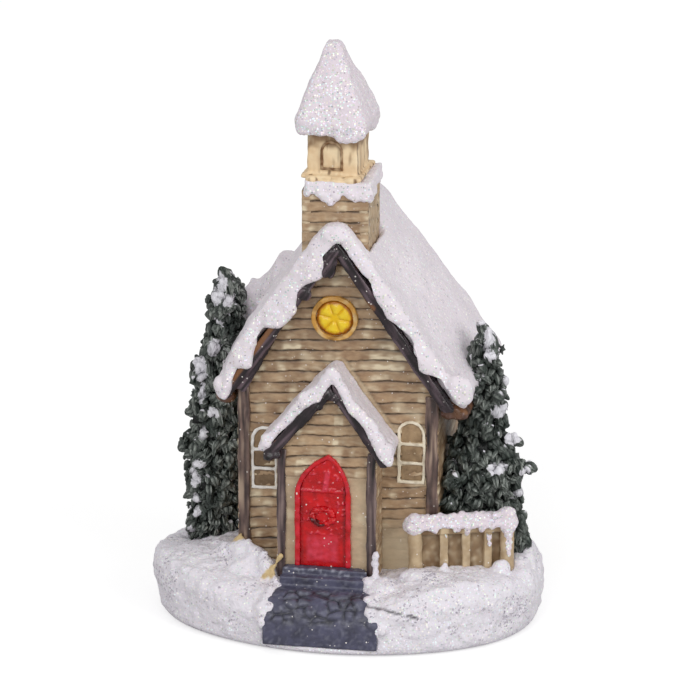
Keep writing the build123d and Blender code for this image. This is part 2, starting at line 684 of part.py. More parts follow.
def fence_pieces():
    """End posts, top rail, pickets, the panel behind them and the snow on top."""
    clear_height = FENCE_HEIGHT - RAIL_HEIGHT
    ends = (0.0, FENCE_LENGTH)
    posts = [fence_place(x) * Cylinder(FENCE_POST_RADIUS, FENCE_HEIGHT, align=FLAT) for x in ends]
    middle = FENCE_LENGTH / 2
    rail = fence_place(middle, 0, clear_height) * Box(FENCE_LENGTH, RAIL_THICKNESS, RAIL_HEIGHT, align=FLAT)
    panel_y = (PICKET_THICKNESS + FENCE_PANEL) / 2
    panel = fence_place(middle, panel_y) * Box(FENCE_LENGTH, FENCE_PANEL, clear_height, align=FLAT)
    bar = fence_place(middle, 0, FENCE_HEIGHT) * Box(FENCE_LENGTH, RAIL_THICKNESS, RAIL_SNOW, align=FLAT)
    snow = fillet(bar.faces().sort_by(Axis.Z)[-1].edges(), RAIL_THICKNESS / 3)
    for x in ends:
        snow += fence_place(x, 0, FENCE_HEIGHT) * Sphere(POST_SNOW_RADIUS)
    for post in posts:
        rail -= post
        panel -= post
        snow -= post
    snow -= rail
    snow -= panel
    pickets = []
    for number in range(PICKET_COUNT):
        x = FENCE_LENGTH * (PICKET_START + number * PICKET_STEP)
        pickets.append(fence_place(x) * Box(PICKET_WIDTH, PICKET_THICKNESS, clear_height, align=FLAT))
    return posts, rail, pickets, panel, snow


def conifer(x, y, height, radius, lean, skirts):
    """A conifer of stacked skirts on a leaning trunk, with a peg into the base."""
    outline = [(0.0, 0.0), (skirts[0][1] * radius, 0.0)]
    for (low, wide), (high, next_wide) in zip(skirts, skirts[1:]):
        belly = low + (high - low) * SKIRT_FLARE
        outline.append((wide * radius, height * belly))
        outline.append((min(wide, next_wide) * radius - SKIRT_PINCH, height * high))
        outline.append((next_wide * radius, height * high))
    low, wide = skirts[-1]
    outline.append((wide * radius, height * (low + (1 - low) * SKIRT_FLARE)))
    outline += [(TREE_TIP_RADIUS, height), (0.0, height)]
    face = make_face(Polyline([(r, 0.0, z) for r, z in outline], close=True))
    tree = Pos(x, y, GROUND) * Rot(0, lean, 0) * revolve(face, Axis.Z)
    reach = 2 * height
    tree &= block(x - reach, x + reach, y - reach, y + reach, GROUND, GROUND + reach)
    return tree + disc(TREE_PEG_RADIUS, GROUND - TREE_PEG_LENGTH, GROUND, x, y)


def bush():
    """A low shrub behind the end of the fence."""
    place = fence_place(FENCE_LENGTH + BUSH_PAST, BUSH_BACK, 0)
    cone = place * Cone(BUSH_RADIUS, BUSH_RADIUS / 2, BUSH_HEIGHT, align=FLAT)
    return fillet(cone.edges().filter_by(GeomType.CIRCLE).sort_by(Axis.Z)[-1], BUSH_RADIUS / 3)


def module_housing():
    """Round light housing with a battery well, bayonet grooves and a switch pocket."""
    body = disc(MODULE_RADIUS, MODULE_RECESS, MODULE_TOP, 0, MODULE_Y)
    body += disc(FLANGE_RADIUS, MODULE_RECESS, FLANGE_TOP, 0, MODULE_Y)
    body -= disc(WELL_RADIUS, MODULE_RECESS, WELL_TOP, 0, WELL_Y)
    groove_low = COVER_BOTTOM + LUG_LIFT - LUG_PLAY
    groove_high = COVER_BOTTOM + LUG_LIFT + LUG_THICKNESS + LUG_PLAY
    body -= disc(GROOVE_RADIUS, groove_low, groove_high, 0, WELL_Y)
    entry = LUG_ARC + ENTRY_PLAY
    for lug in (0.0, 180.0):
        body -= sector(GROOVE_RADIUS, MODULE_RECESS, groove_high, lug - COVER_TWIST, entry, WELL_Y)
    half_length = SWITCH_LENGTH / 2 + SWITCH_FIT
    half_width = SWITCH_WIDTH / 2 + SWITCH_FIT
    body -= block(-half_length, half_length, SWITCH_CENTRE_Y - half_width, SWITCH_CENTRE_Y + half_width,
                  FLANGE_TOP, MODULE_TOP)
    return body - slider_slot(MODULE_RECESS, FLANGE_TOP)


def slider_slot(z_low, z_high):
    """The space that the slider's knob sweeps, with its running play."""
    half_length = (SLIDER_LENGTH + SLIDER_TRAVEL) / 2 + SLIDER_PLAY
    half_width = SLIDER_WIDTH / 2 + SLIDER_PLAY
    front, back = SWITCH_CENTRE_Y - half_width, SWITCH_CENTRE_Y + half_width
    return block(-half_length, half_length, front, back, z_low, z_high)


def battery_cover():
    """Twist-off cover with two bayonet lugs, a coin slot below and a boss that lifts the cell."""
    cover = disc(COVER_RADIUS, COVER_BOTTOM, COVER_TOP, 0, WELL_Y)
    lug_low = COVER_BOTTOM + LUG_LIFT
    for lug in (0.0, 180.0):
        cover += sector(COVER_RADIUS + LUG_REACH, lug_low, lug_low + LUG_THICKNESS, lug, LUG_ARC, WELL_Y)
    cover += disc(COVER_BOSS_RADIUS, COVER_TOP, CELL_BOTTOM, 0, WELL_Y)
    slot = Pos(0, WELL_Y, COVER_BOTTOM) * Box(COIN_SLOT_LENGTH, COIN_SLOT_WIDTH, COIN_SLOT_DEPTH, align=FLAT)
    return cover - slot


def coin_cell():
    """Lithium coin cell: the wide can below and the narrower cap above it."""
    can = disc(CELL_RADIUS, CELL_BOTTOM, CELL_TOP - CELL_RIM_STEP, 0, WELL_Y)
    return can + disc(CELL_RADIUS - CELL_RIM_INSET, CELL_BOTTOM, CELL_TOP, 0, WELL_Y)


def contact_spring():
    """Bowed strip between the cell's cap and the roof of the well."""
    ends = [(-SPRING_LENGTH / 2, WELL_TOP), (SPRING_LENGTH / 2, WELL_TOP)]
    sag = CELL_TOP + STRIP_THICKNESS
    y = WELL_Y - SPRING_WIDTH / 2
    inset = STRIP_THICKNESS * SPRING_LENGTH / (2 * (WELL_TOP - sag))
    edges = [
        ThreePointArc((ends[0][0], y, WELL_TOP), (0, y, CELL_TOP), (ends[1][0], y, WELL_TOP)),
        Line((ends[1][0], y, WELL_TOP), (ends[1][0] - inset, y, WELL_TOP)),
        ThreePointArc((ends[1][0] - inset, y, WELL_TOP), (0, y, sag), (ends[0][0] + inset, y, WELL_TOP)),
        Line((ends[0][0] + inset, y, WELL_TOP), (ends[0][0], y, WELL_TOP)),
    ]
    return extrude(make_face(edges), amount=SPRING_WIDTH, dir=(0, 1, 0))


def contact_clip():
    """Curved side contact against the cell's can, rising to the roof of the well."""
    low = CELL_BOTTOM
    band = sector(CELL_RADIUS + 2 * STRIP_THICKNESS, low, WELL_TOP, 90, CLIP_ARC, WELL_Y)
    return band - disc(CELL_RADIUS, low, WELL_TOP, 0, WELL_Y)


def circuit_board():
    """Round board on the housing's roof, above the switch's pins."""
    return disc(MODULE_RADIUS - CIRCUIT_INSET, MODULE_TOP, CIRCUIT_TOP, 0, MODULE_Y)


def led():
    """Round-nosed lamp standing on the board and shining up into the house."""
    nose = CIRCUIT_TOP + LED_HEIGHT - LED_RADIUS
    body = disc(LED_FLANGE_RADIUS, CIRCUIT_TOP, CIRCUIT_TOP + LED_FLANGE_HEIGHT, 0, MODULE_Y)
    body += disc(LED_RADIUS, CIRCUIT_TOP, nose, 0, MODULE_Y)
    return body + Pos(0, MODULE_Y, nose) * Sphere(LED_RADIUS)


def switch_body():
    """Slide switch on the flange's inner face, its pins reaching the circuit board."""
    box = Pos(0, SWITCH_CENTRE_Y, FLANGE_TOP) * Box(SWITCH_LENGTH, SWITCH_WIDTH, SWITCH_HEIGHT, align=FLAT)
    box -= slider_slot(FLANGE_TOP, FLANGE_TOP + SLIDER_SINK + SLIDER_PLAY)
    for number in range(PIN_COUNT):
        x = (number - (PIN_COUNT - 1) / 2) * PIN_PITCH
        low = FLANGE_TOP + SWITCH_HEIGHT
        box += Pos(x, SWITCH_CENTRE_Y, low) * Box(PIN_SIZE, PIN_SIZE, MODULE_TOP - low, align=FLAT)
    return box


def switch_slider():
    """Knob that slides along X, stored at its off end."""
    x = -SLIDER_TRAVEL / 2
    low = MODULE_RECESS - SLIDER_PROUD
    return Pos(x, SWITCH_CENTRE_Y, low) * Box(
        SLIDER_LENGTH, SLIDER_WIDTH, FLANGE_TOP + SLIDER_SINK - low, align=FLAT)


def snow_banks():
    """The domes of heaped snow, kept within the outline of a taller slab."""
    domes = []
    for x, y, reach, height in BANKS:
        radius = (reach**2 + height**2) / (2 * height)
        domes.append(Pos(x, y, GROUND + height - radius) * Sphere(radius))
    slab = base_blank(BASE_HEIGHT + BANK_RISE)
    return [dome & slab for dome in domes]


def snow_base(trees, neighbours):
    """The heaped base with the module's bore, the light hole, the path's trench and the seats of all on it."""
    base = base_blank(BASE_HEIGHT)
    for bank in snow_banks():
        base += bank
    base -= block(HOUSE_LEFT, HOUSE_RIGHT, HOUSE_FRONT, HOUSE_BACK, GROUND, WALL_TOP)
    for neighbour in neighbours:
        base -= neighbour
    base -= path_trench()
    base -= disc(FLANGE_RADIUS + MODULE_CLEARANCE, 0, FLANGE_TOP, 0, MODULE_Y)
    base -= disc(MODULE_RADIUS + MODULE_CLEARANCE, 0, BORE_TOP, 0, MODULE_Y)
    base -= disc(LIGHT_HOLE_RADIUS, 0, BASE_HEIGHT, 0, MODULE_Y)
    for tree in trees:
        base -= tree
    return base


def assemble():
    """Every named piece in its place."""
    steps = stone_steps()
    walls = house_walls()
    deck = prism(deck_outline(HOUSE_X, ROOF_RUN, GABLE_TOP, ROOF_SLOPE, DECK_THICKNESS * ROOF_UPRIGHT),
                 DECK_FRONT, DECK_BACK)
    deck = above(deck, EAVE_LEVEL)
    roof_size = (HOUSE_X, ROOF_RUN, GABLE_TOP, ROOF_SLOPE, ROOF_UPRIGHT, DECK_THICKNESS, BOARD_DROP,
                 EAVE_LEVEL)
    front_left, front_right = bargeboards(*roof_size, ROOF_FRONT, DECK_FRONT)
    back_left, back_right = bargeboards(*roof_size, DECK_BACK, ROOF_BACK)
    shaft = tower_shaft()
    snow = snow_blanket(HOUSE_X, ROOF_RUN, RIDGE, ROOF_SLOPE, ROOF_UPRIGHT, ROOF_SNOW, ROOF_SNOW_LIP,
                        ROOF_DRIFT, ROOF_RIDGE_ROUND, ROOF_FRONT, ROOF_BACK)
    snow = snow + back_drift() - shaft

    left_frame, left_panes = arched_window(HOUSE_LEFT + WINDOW_INSET, WINDOW_LEFT_SILL)
    right_frame, right_panes = arched_window(HOUSE_RIGHT - WINDOW_INSET, WINDOW_RIGHT_SILL)
    windows = [left_frame, right_frame, *left_panes, *right_panes]
    ring, lens = rose_window()

    porch_deck = prism(deck_outline(PORCH_X, PORCH_RUN, PORCH_TOP, PORCH_SLOPE, PORCH_DECK * PORCH_UPRIGHT),
                       PORCH_DECK_FRONT, HOUSE_FRONT)
    porch_deck = above(porch_deck, PORCH_LEVEL)
    porch_size = (PORCH_X, PORCH_RUN, PORCH_TOP, PORCH_SLOPE, PORCH_UPRIGHT, PORCH_DECK, PORCH_BOARD_DROP,
                  PORCH_LEVEL)
    porch_face = PORCH_DECK_FRONT - PORCH_BOARD
    porch_left, porch_right = bargeboards(*porch_size, porch_face, PORCH_DECK_FRONT)
    porch_ridge = PORCH_TOP + PORCH_DECK * PORCH_UPRIGHT
    porch_snow = snow_blanket(PORCH_X, PORCH_RUN, porch_ridge, PORCH_SLOPE, PORCH_UPRIGHT, PORCH_SNOW,
                              PORCH_SNOW_LIP, PORCH_DRIFT, PORCH_RIDGE_ROUND, porch_face, HOUSE_FRONT)
    for window in windows:
        porch_deck -= window
        porch_snow -= window
    door_frame, door_leaf, wreath = door_pieces()

    ledge = tower_ledge_snow(shaft)
    chamber = belfry()
    spire = spire_snow_cap(chamber)
    posts, rail, pickets, panel, fence_snow = fence_pieces()

    left_tree = conifer(LEFT_TREE_X, LEFT_TREE_Y, LEFT_TREE_HEIGHT, LEFT_TREE_RADIUS,
                        LEFT_TREE_LEAN, LEFT_TREE_SKIRTS)
    right_tree = conifer(RIGHT_TREE_X, RIGHT_TREE_Y, RIGHT_TREE_HEIGHT, RIGHT_TREE_RADIUS,
                         RIGHT_TREE_LEAN, RIGHT_TREE_SKIRTS)
    for neighbour in (walls, deck, snow, front_left, front_right, back_left, back_right):
        left_tree -= neighbour
        right_tree -= neighbour
    front_left_post = corner_post(-1, HOUSE_FRONT - POST_PROUD, HOUSE_FRONT)
    front_right_post = corner_post(1, HOUSE_FRONT - POST_PROUD, HOUSE_FRONT)
    back_left_post = corner_post(-1, HOUSE_BACK, HOUSE_BACK + POST_PROUD)
    back_right_post = corner_post(1, HOUSE_BACK, HOUSE_BACK + POST_PROUD)
    porch = porch_body()
    left_post = porch_post(-1) - porch_left - steps
    right_post = porch_post(1) - porch_right - steps
    seated = [front_left_post, front_right_post, back_left_post, back_right_post, porch, left_post, right_post]
    base = snow_base((left_tree, right_tree), seated + posts + pickets + [panel])

    return {
        "snow_base": base,
        "stone_steps": steps,
        "house_walls": walls,
        "corner_post_front_left": front_left_post,
        "corner_post_front_right": front_right_post,
        "corner_post_back_left": back_left_post,
        "corner_post_back_right": back_right_post,
        "roof_deck": deck,
        "bargeboard_front_left": front_left,
        "bargeboard_front_right": front_right,
        "bargeboard_back_left": back_left,
        "bargeboard_back_right": back_right,
        "roof_snow": snow,
        "rose_window_ring": ring,
        "rose_window_lens": lens,
        "window_frame_left": left_frame,
        "window_frame_right": right_frame,
        "window_panes_left": Compound(children=left_panes),
        "window_panes_right": Compound(children=right_panes),
        "porch_body": porch,
        "porch_post_left": left_post,
        "porch_post_right": right_post,
        "porch_roof_deck": porch_deck,
        "porch_bargeboard_left": porch_left,
        "porch_bargeboard_right": porch_right,
        "porch_snow": porch_snow,
        "door_frame": door_frame,
        "door_leaf": door_leaf,
        "door_wreath": wreath,
        "tower_shaft": shaft,
        "tower_ledge_snow": ledge,
        "belfry": chamber,
        "belfry_window_frame": belfry_window_frame(),
        "spire_snow_cap": spire,
        "fence_posts": Compound(children=posts),
        "fence_rail": rail,
        "fence_pickets": Compound(children=pickets),
        "fence_panel": panel,
        "fence_snow": fence_snow,
        "tree_left": left_tree,
        "tree_right": right_tree,
        "bush_right": bush() - base - right_tree,
        "module_housing": module_housing(),
        "battery_cover": battery_cover(),
        "coin_cell": coin_cell(),
        "contact_spring": contact_spring(),
        "contact_clip": contact_clip(),
        "circuit_board": circuit_board(),
        "led": led(),
        "switch_body": switch_body(),
        "switch_slider": switch_slider(),
    }


os.makedirs("parts", exist_ok=True)
for name, piece in assemble().items():
    export_step(piece, f"parts/{name}.step")
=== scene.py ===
import json
import math
import random

import bpy
from mathutils import Euler, Matrix, Vector, noise

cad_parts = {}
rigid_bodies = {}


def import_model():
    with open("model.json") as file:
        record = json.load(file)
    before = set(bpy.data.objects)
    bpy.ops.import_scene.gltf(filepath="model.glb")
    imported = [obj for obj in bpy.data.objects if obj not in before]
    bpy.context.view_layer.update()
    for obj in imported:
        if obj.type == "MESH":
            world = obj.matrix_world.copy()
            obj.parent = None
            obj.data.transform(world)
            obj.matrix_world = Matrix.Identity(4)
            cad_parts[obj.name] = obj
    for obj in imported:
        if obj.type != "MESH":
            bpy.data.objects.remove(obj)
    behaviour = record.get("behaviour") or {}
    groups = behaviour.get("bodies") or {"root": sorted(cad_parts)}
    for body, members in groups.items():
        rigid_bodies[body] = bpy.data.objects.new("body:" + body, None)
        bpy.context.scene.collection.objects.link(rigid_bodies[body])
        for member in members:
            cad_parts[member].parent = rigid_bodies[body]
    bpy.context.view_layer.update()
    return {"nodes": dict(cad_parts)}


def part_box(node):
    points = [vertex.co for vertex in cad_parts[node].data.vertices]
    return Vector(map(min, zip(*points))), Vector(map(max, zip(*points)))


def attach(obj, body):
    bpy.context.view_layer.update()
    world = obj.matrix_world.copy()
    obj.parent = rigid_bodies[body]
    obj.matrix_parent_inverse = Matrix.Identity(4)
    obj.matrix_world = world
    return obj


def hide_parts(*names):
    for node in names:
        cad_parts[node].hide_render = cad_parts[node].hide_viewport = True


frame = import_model()

MM = 0.001
for leftover in [o for o in bpy.context.scene.objects if o.type in ("CAMERA", "LIGHT") or o.name == "Cube"]:
    bpy.data.objects.remove(leftover)


# Camera, at the photograph's viewing angle
CAMERA_AZIMUTH = math.radians(10.0)
CAMERA_ELEVATION = math.radians(20.0)
CAMERA_DISTANCE = 1400 * MM
CAMERA_TARGET = Vector((0.213, 0.394, 50.964)) * MM
CAMERA_LENS = 392.4
CAMERA_SENSOR = 36.0
CAMERA_CLIP = (0.05, 20.0)

camera_data = bpy.data.cameras.new("studio_camera")
camera_data.lens = CAMERA_LENS
camera_data.sensor_width = CAMERA_SENSOR
camera_data.clip_start, camera_data.clip_end = CAMERA_CLIP
camera = bpy.data.objects.new("studio_camera", camera_data)
bpy.context.scene.collection.objects.link(camera)
bpy.context.scene.camera = camera
level = math.cos(CAMERA_ELEVATION)
camera_back = Vector((
    math.sin(CAMERA_AZIMUTH) * level,
    -math.cos(CAMERA_AZIMUTH) * level,
    math.sin(CAMERA_ELEVATION),
))
camera.location = CAMERA_TARGET + camera_back * CAMERA_DISTANCE
camera.rotation_euler = (-camera_back).to_track_quat("-Z", "Y").to_euler()


# Materials: sizes in millimetres, shares of the glitter and specks, and the colour sockets of a mix
PASTE_MM = 7.0
PATCH_MM = 5.0
GRIT_MM = 0.5
FLAKE_MM = 0.36
FLAKE_REACH = 0.5
FLASH_TINT = 0.16
PAINTED_GLINT_VALUES = (0.62, 1.16)
PIT_MM = 0.34
PIT_LEVEL = 0.72
SPECK_MM = 0.42
SPECK_REACH = 0.34
BRUSH_GRAIN_MM = 1 / 2.2
MIX_FIRST, MIX_SECOND, MIX_RESULT = 6, 7, 2


def paint_colour(code):
    """A colour written as sRGB hex, in the linear light that the shaders mix."""
    shares = [int(code[i : i + 2], 16) / 255 for i in (1, 3, 5)]
    linear = [s / 12.92 if s <= 0.04045 else ((s + 0.055) / 1.055) ** 2.4 for s in shares]
    return (*linear, 1.0)


class Shader:
    """The nodes of a material or a world, added one at a time."""

    def __init__(self, owner):
        owner.use_nodes = True
        self.owner = owner
        self.nodes = owner.node_tree.nodes
        self.links = owner.node_tree.links
        self.nodes.clear()

    def add(self, kind, sockets=None, **settings):
        """Adds a node with its settings, links its sockets or sets their values, and gives its outputs."""
        node = self.nodes.new(kind)
        for name, value in settings.items():
            setattr(node, name, value)
        for socket, value in (sockets or {}).items():
            if isinstance(value, bpy.types.NodeSocket):
                self.links.new(value, node.inputs[socket])
            else:
                node.inputs[socket].default_value = value
        return node.outputs

    def place(self):
        """Where a point is on its piece."""
        return self.add("ShaderNodeTexCoord")["Object"]

    def stretch(self, place, scale):
        """A place, stretched along the axes."""
        return self.add("ShaderNodeMapping", {"Vector": place, "Scale": scale})[0]

    def mix(self, share, first, second):
        """A colour between two, which are hex codes or come from other nodes."""
        ends = [paint_colour(end) if isinstance(end, str) else end for end in (first, second)]
        sockets = {0: share, MIX_FIRST: ends[0], MIX_SECOND: ends[1]}
        return self.add("ShaderNodeMix", sockets, data_type="RGBA")[MIX_RESULT]

    def maths(self, operation, first, second):
        """One step of arithmetic."""
        return self.add("ShaderNodeMath", {0: first, 1: second}, operation=operation)[0]

    def vector(self, operation, sockets):
        """One step of arithmetic on vectors."""
        return self.add("ShaderNodeVectorMath", sockets, operation=operation)[0]

    def remap(self, value, bottom, top, low=0.0, high=1.0):
        """A value carried from the range low to high over to the range bottom to top."""
        return self.add("ShaderNodeMapRange", {0: value, 1: low, 2: high, 3: bottom, 4: top})[0]

    def cloud(self, place, size_mm, detail, roughness=0.5):
        """Soft blotches of a size."""
        return self.add("ShaderNodeTexNoise", {
            "Vector": place, "Scale": 1 / (size_mm * MM), "Detail": detail, "Roughness": roughness})["Fac"]

    def cells(self, place, size_mm):
        """Crystals of a size: their own outputs, and three random shares for each."""
        crystals = self.add("ShaderNodeTexVoronoi", {"Vector": place, "Scale": 1 / (size_mm * MM)})
        return crystals, self.add("ShaderNodeSeparateColor", {"Color": crystals["Color"]})

    def masks(self):
        """The three masks that sculpting left on a piece, as Red, Green and Blue."""
        carving = self.add("ShaderNodeAttribute", attribute_name="paint")
        return self.add("ShaderNodeSeparateColor", {"Color": carving["Color"]})

    def bump(self, height, depth_mm, strength):
        """A fine relief."""
        return self.add("ShaderNodeBump", {
            "Height": height, "Distance": depth_mm * MM, "Strength": strength})[0]

    def finish(self, colour, rough, facing, more=None):
        """Gives the material its surface."""
        surface = self.add("ShaderNodeBsdfPrincipled", {
            "Base Color": colour, "Roughness": rough, "Normal": facing, **(more or {})})
        self.add("ShaderNodeOutputMaterial", {"Surface": surface[0]})
        return self.owner


def snow_paste(name, lit, shaded, flake_share, speck_share, grit):
    """Acrylic snow paste with glitter stirred in, dabbed on wet.
    It gives a matt lilac white with a grainy skin, and flat flakes that flash white, pink and blue."""
    paint = Shader(bpy.data.materials.new(name))
    place = paint.place()
    masks = paint.masks()
    paste = paint.mix(paint.cloud(place, PASTE_MM, 4.0), lit, shaded)
    crystals, chance = paint.cells(place, FLAKE_MM)
    picked = paint.maths("GREATER_THAN", chance["Red"], 1 - flake_share)
    inside = paint.maths("LESS_THAN", crystals["Distance"], FLAKE_REACH)
    flake = paint.maths("MULTIPLY", paint.maths("MULTIPLY", picked, inside), masks["Green"])
    # Painted glints: the flakes' brightness runs past white paint to stand in for glitter catching the light;
    # their hue is the glitter's own
    value = paint.remap(chance["Blue"], *PAINTED_GLINT_VALUES)
    flash = paint.add("ShaderNodeCombineColor", {
        "Red": chance["Green"], "Green": FLASH_TINT, "Blue": value}, mode="HSV")
    glitter = paint.mix(flake, paste, flash["Color"])
    pit_chance = paint.cells(place, PIT_MM)[1]
    pit_level = paint.maths("MULTIPLY", pit_chance["Red"], paint.cloud(place, PATCH_MM, 2.0))
    pitted = paint.maths("GREATER_THAN", pit_level, PIT_LEVEL - speck_share)
    skin = paint.mix(pitted, glitter, paint.mix(pit_chance["Green"], "#aaa4b0", "#cfc8d1"))
    straw = paint.mix(masks["Blue"], skin, "#cdb485")
    # The red mask paints the shade of the crack in the ground snow
    crack_shaded_paste = paint.mix(masks["Red"], straw, "#3a373d")
    grain = paint.bump(paint.cloud(place, GRIT_MM, 3.0), grit, 0.8)
    tilt = paint.vector("SUBTRACT", {0: crystals["Color"], 1: (0.5, 0.5, 0.5)})
    tilted = paint.vector("SCALE", {0: tilt, 3: flake})
    facing = paint.vector("NORMALIZE", {0: paint.vector("ADD", {0: grain, 1: tilted})})
    return paint.finish(crack_shaded_paste, paint.remap(flake, 0.78, 0.2), facing, {"Specular IOR Level": 0.5})


def washed_paint(name, light, dark, wash, worn, brush_mm, gloss, specks):
    """Acrylic paint on cast resin, with a dark wash left in the carving and a pale dry brush over its edges.
    It gives a blotchy satin colour that is darkest in the grooves."""
    paint = Shader(bpy.data.materials.new(name))
    place = paint.place()
    masks = paint.masks()
    stretched = paint.stretch(place, brush_mm)
    strokes = paint.cloud(stretched, 1.0, 5.0, 0.62)
    body = paint.mix(paint.remap(strokes, 0.0, 1.0, 0.34, 0.66), dark, light)
    # The red mask is the dark wash, and on some pieces also painted shade and painted shadow
    washed = paint.mix(masks["Red"], body, wash)
    brushed = paint.mix(masks["Green"], washed, worn)
    bare = paint.mix(masks["Blue"], brushed, "#7a5233")
    dots, chance = paint.cells(place, SPECK_MM)
    picked = paint.maths("GREATER_THAN", chance["Red"], 1 - specks)
    inside = paint.maths("LESS_THAN", dots["Distance"], SPECK_REACH)
    dot = paint.maths("MULTIPLY", picked, inside)
    dusted = paint.mix(paint.maths("MULTIPLY", dot, chance["Green"]), bare, "#f2ece6")
    rough = paint.remap(strokes, gloss - 0.08, gloss + 0.1, 0.3, 0.7)
    return paint.finish(dusted, rough, paint.bump(paint.cloud(stretched, BRUSH_GRAIN_MM, 3.0), 0.12, 0.6))


def conifer_paint(name):
    """Gloss acrylic over modelled needles, brushed grey-green on the ridges, with white dabs for snow.
    It gives near-black hollows of painted shade, soft grey ridges with a painted highlight on their upper
    side, and wet highlights."""
    paint = Shader(bpy.data.materials.new(name))
    place = paint.place()
    masks = paint.masks()
    body = paint.mix(paint.cloud(place, 2.4, 4.0), "#29322d", "#69756d")
    needles = paint.cloud(paint.stretch(place, (2.6, 2.6, 0.7)), 1.0, 3.0, 0.6)
    streaks = paint.remap(needles, 0.3, 1.0, 0.4, 0.56)
    # Painted shade: the red mask darkens the needles' grooves, the sprays' roots under their neighbours and
    # the hidden cores to near-black
    shaded_hollow = paint.mix(masks["Red"], body, "#0c100e")
    # Ridges: dry-brushed grey-green, lighter on their upper side as a painted highlight
    ridge = paint.mix(paint.maths("MULTIPLY", masks["Green"], streaks), shaded_hollow, "#c0c6be")
    snowy = paint.mix(paint.remap(masks["Blue"], 0.0, 1.0, 0.35, 0.6), ridge, "#eceaf0")
    return paint.finish(snowy, paint.remap(masks["Blue"], 0.3, 0.6), paint.bump(needles, 0.45, 0.9))


def moulded(name, colour, mottle, rough, grain_mm, metallic=0.0):
    """Moulded plastic or pressed metal, with a fine even texture from the tool."""
    paint = Shader(bpy.data.materials.new(name))
    grain = paint.cloud(paint.place(), grain_mm, 2.0)
    tone = paint.mix(grain, colour, mottle)
    sheen = paint.remap(grain, rough - 0.06, rough + 0.06)
    return paint.finish(tone, sheen, paint.bump(grain, 0.03, 0.5), {"Metallic": metallic})


ROOF_SNOW = snow_paste("roof_snow_paste", "#ebe4ea", "#e2d8df", 0.4, 0.05, 0.16)
SPIRE_SNOW = snow_paste("spire_snow_paste", "#e7dde4", "#dccfd8", 0.66, 0.03, 0.18)
GROUND_SNOW = snow_paste("ground_snow_paste", "#ece8ee", "#e0dae3", 0.4, 0.2, 0.3)
CLAPBOARD = washed_paint(
    "washed_tan_clapboard", "#bb9d7b", "#917357", "#2c1b0d", "#e8dabb", (0.3, 0.3, 0.6), 0.5, 0.05)
POST_TIMBER = washed_paint(
    "brushed_brown_timber", "#846c62", "#473735", "#241b1b", "#bba48f", (0.8, 0.8, 0.14), 0.42, 0.02)
PORCH_TIMBER = washed_paint(
    "brushed_dark_timber", "#5f4c4c", "#312729", "#171213", "#94807a", (0.8, 0.8, 0.14), 0.4, 0.03)
BOARD_TIMBER = washed_paint(
    "gloss_black_timber", "#33262c", "#181215", "#0b0809", "#6c5a62", (0.5, 0.5, 0.3), 0.28, 0.04)
CREAM = washed_paint(
    "washed_cream_plaster", "#f0d9b3", "#e0c096", "#6d4824", "#f8e8c6", (0.3, 0.3, 0.3), 0.5, 0.006)
FENCE_CREAM = washed_paint(
    "washed_fence_cream", "#cbb592", "#aa9171", "#785d40", "#e6d9bd", (0.35, 0.35, 0.2), 0.5, 0.035)
WHITE_TRIM = washed_paint(
    "brushed_white_trim", "#f1eee9", "#ddd6cc", "#a08a68", "#fbfaf8", (0.6, 0.6, 0.6), 0.5, 0.0)
CREAM_TRIM = washed_paint(
    "brushed_cream_trim", "#ece0c8", "#d8c8a8", "#8f744c", "#fbf7ee", (0.6, 0.6, 0.6), 0.5, 0.0)
WINDOW_TAN = washed_paint(
    "washed_window_tan", "#a88d6b", "#80674a", "#46301d", "#c3a982", (0.5, 0.5, 0.5), 0.45, 0.02)
RING_OCHRE = washed_paint(
    "washed_ochre_ring", "#d3a04a", "#b07a30", "#5f3a18", "#ecd8a6", (0.6, 0.6, 0.6), 0.4, 0.01)
DOOR_RED = washed_paint(
    "gloss_door_red", "#d4000c", "#ac0009", "#560207", "#dc4058", (0.35, 0.35, 0.35), 0.28, 0.03)
SLATE = washed_paint(
    "gloss_slate_path", "#53536a", "#3a3a49", "#1c1c24", "#90919f", (0.4, 0.4, 0.4), 0.4, 0.03)
LENS_YELLOW = washed_paint(
    "moulded_yellow_lens", "#efc602", "#e4b402", "#a8641a", "#f6dc3c", (0.6, 0.6, 0.6), 0.25, 0.0)
CONIFER = conifer_paint("gloss_conifer_green")
MODULE_PLASTIC = moulded("spark_textured_black_plastic", "#2b2b2e", "#36363a", 0.5, 0.35)
SLIDER_PLASTIC = moulded("moulded_grey_plastic", "#4a4a4f", "#57575c", 0.4, 0.3)
LAMINATE = moulded("solder_masked_laminate", "#14572c", "#1a6434", 0.35, 0.6)
LAMP_RESIN = moulded("cast_lamp_resin", "#efe9d2", "#f6f1dd", 0.2, 1.5)
CELL_STEEL = moulded("plated_cell_steel", "#c4c4c6", "#d0d0d2", 0.3, 0.4, 1.0)
CONTACT_BRASS = moulded("stamped_contact_brass", "#c9a75a", "#d6b56a", 0.32, 0.4, 1.0)


# Modelling: pieces start from a primitive or a merged copy of their CAD node
WELD_MM = 0.005


def pick(piece):
    """Makes a piece the only selected one."""
    bpy.ops.object.select_all(action="DESELECT")
    piece.select_set(True)
    bpy.context.view_layer.objects.active = piece


def shape_with(piece, kind, **settings):
    """Adds a modifier to a piece and applies it."""
    pick(piece)
    modifier = piece.modifiers.new(kind.lower(), kind)
    for name, value in settings.items():
        setattr(modifier, name, value)
    bpy.ops.object.modifier_apply(modifier=modifier.name)


def edit(piece, *steps):
    """Runs mesh tools on all of a piece, each given with its settings."""
    pick(piece)
    bpy.ops.object.mode_set(mode="EDIT")
    for tool, settings in steps:
        bpy.ops.mesh.select_all(action="SELECT")
        tool(**settings)
    bpy.ops.object.mode_set(mode="OBJECT")


def join(piece, others):
    """Makes other pieces part of a piece."""
    pick(piece)
    for other in others:
        other.select_set(True)
    bpy.ops.object.join()


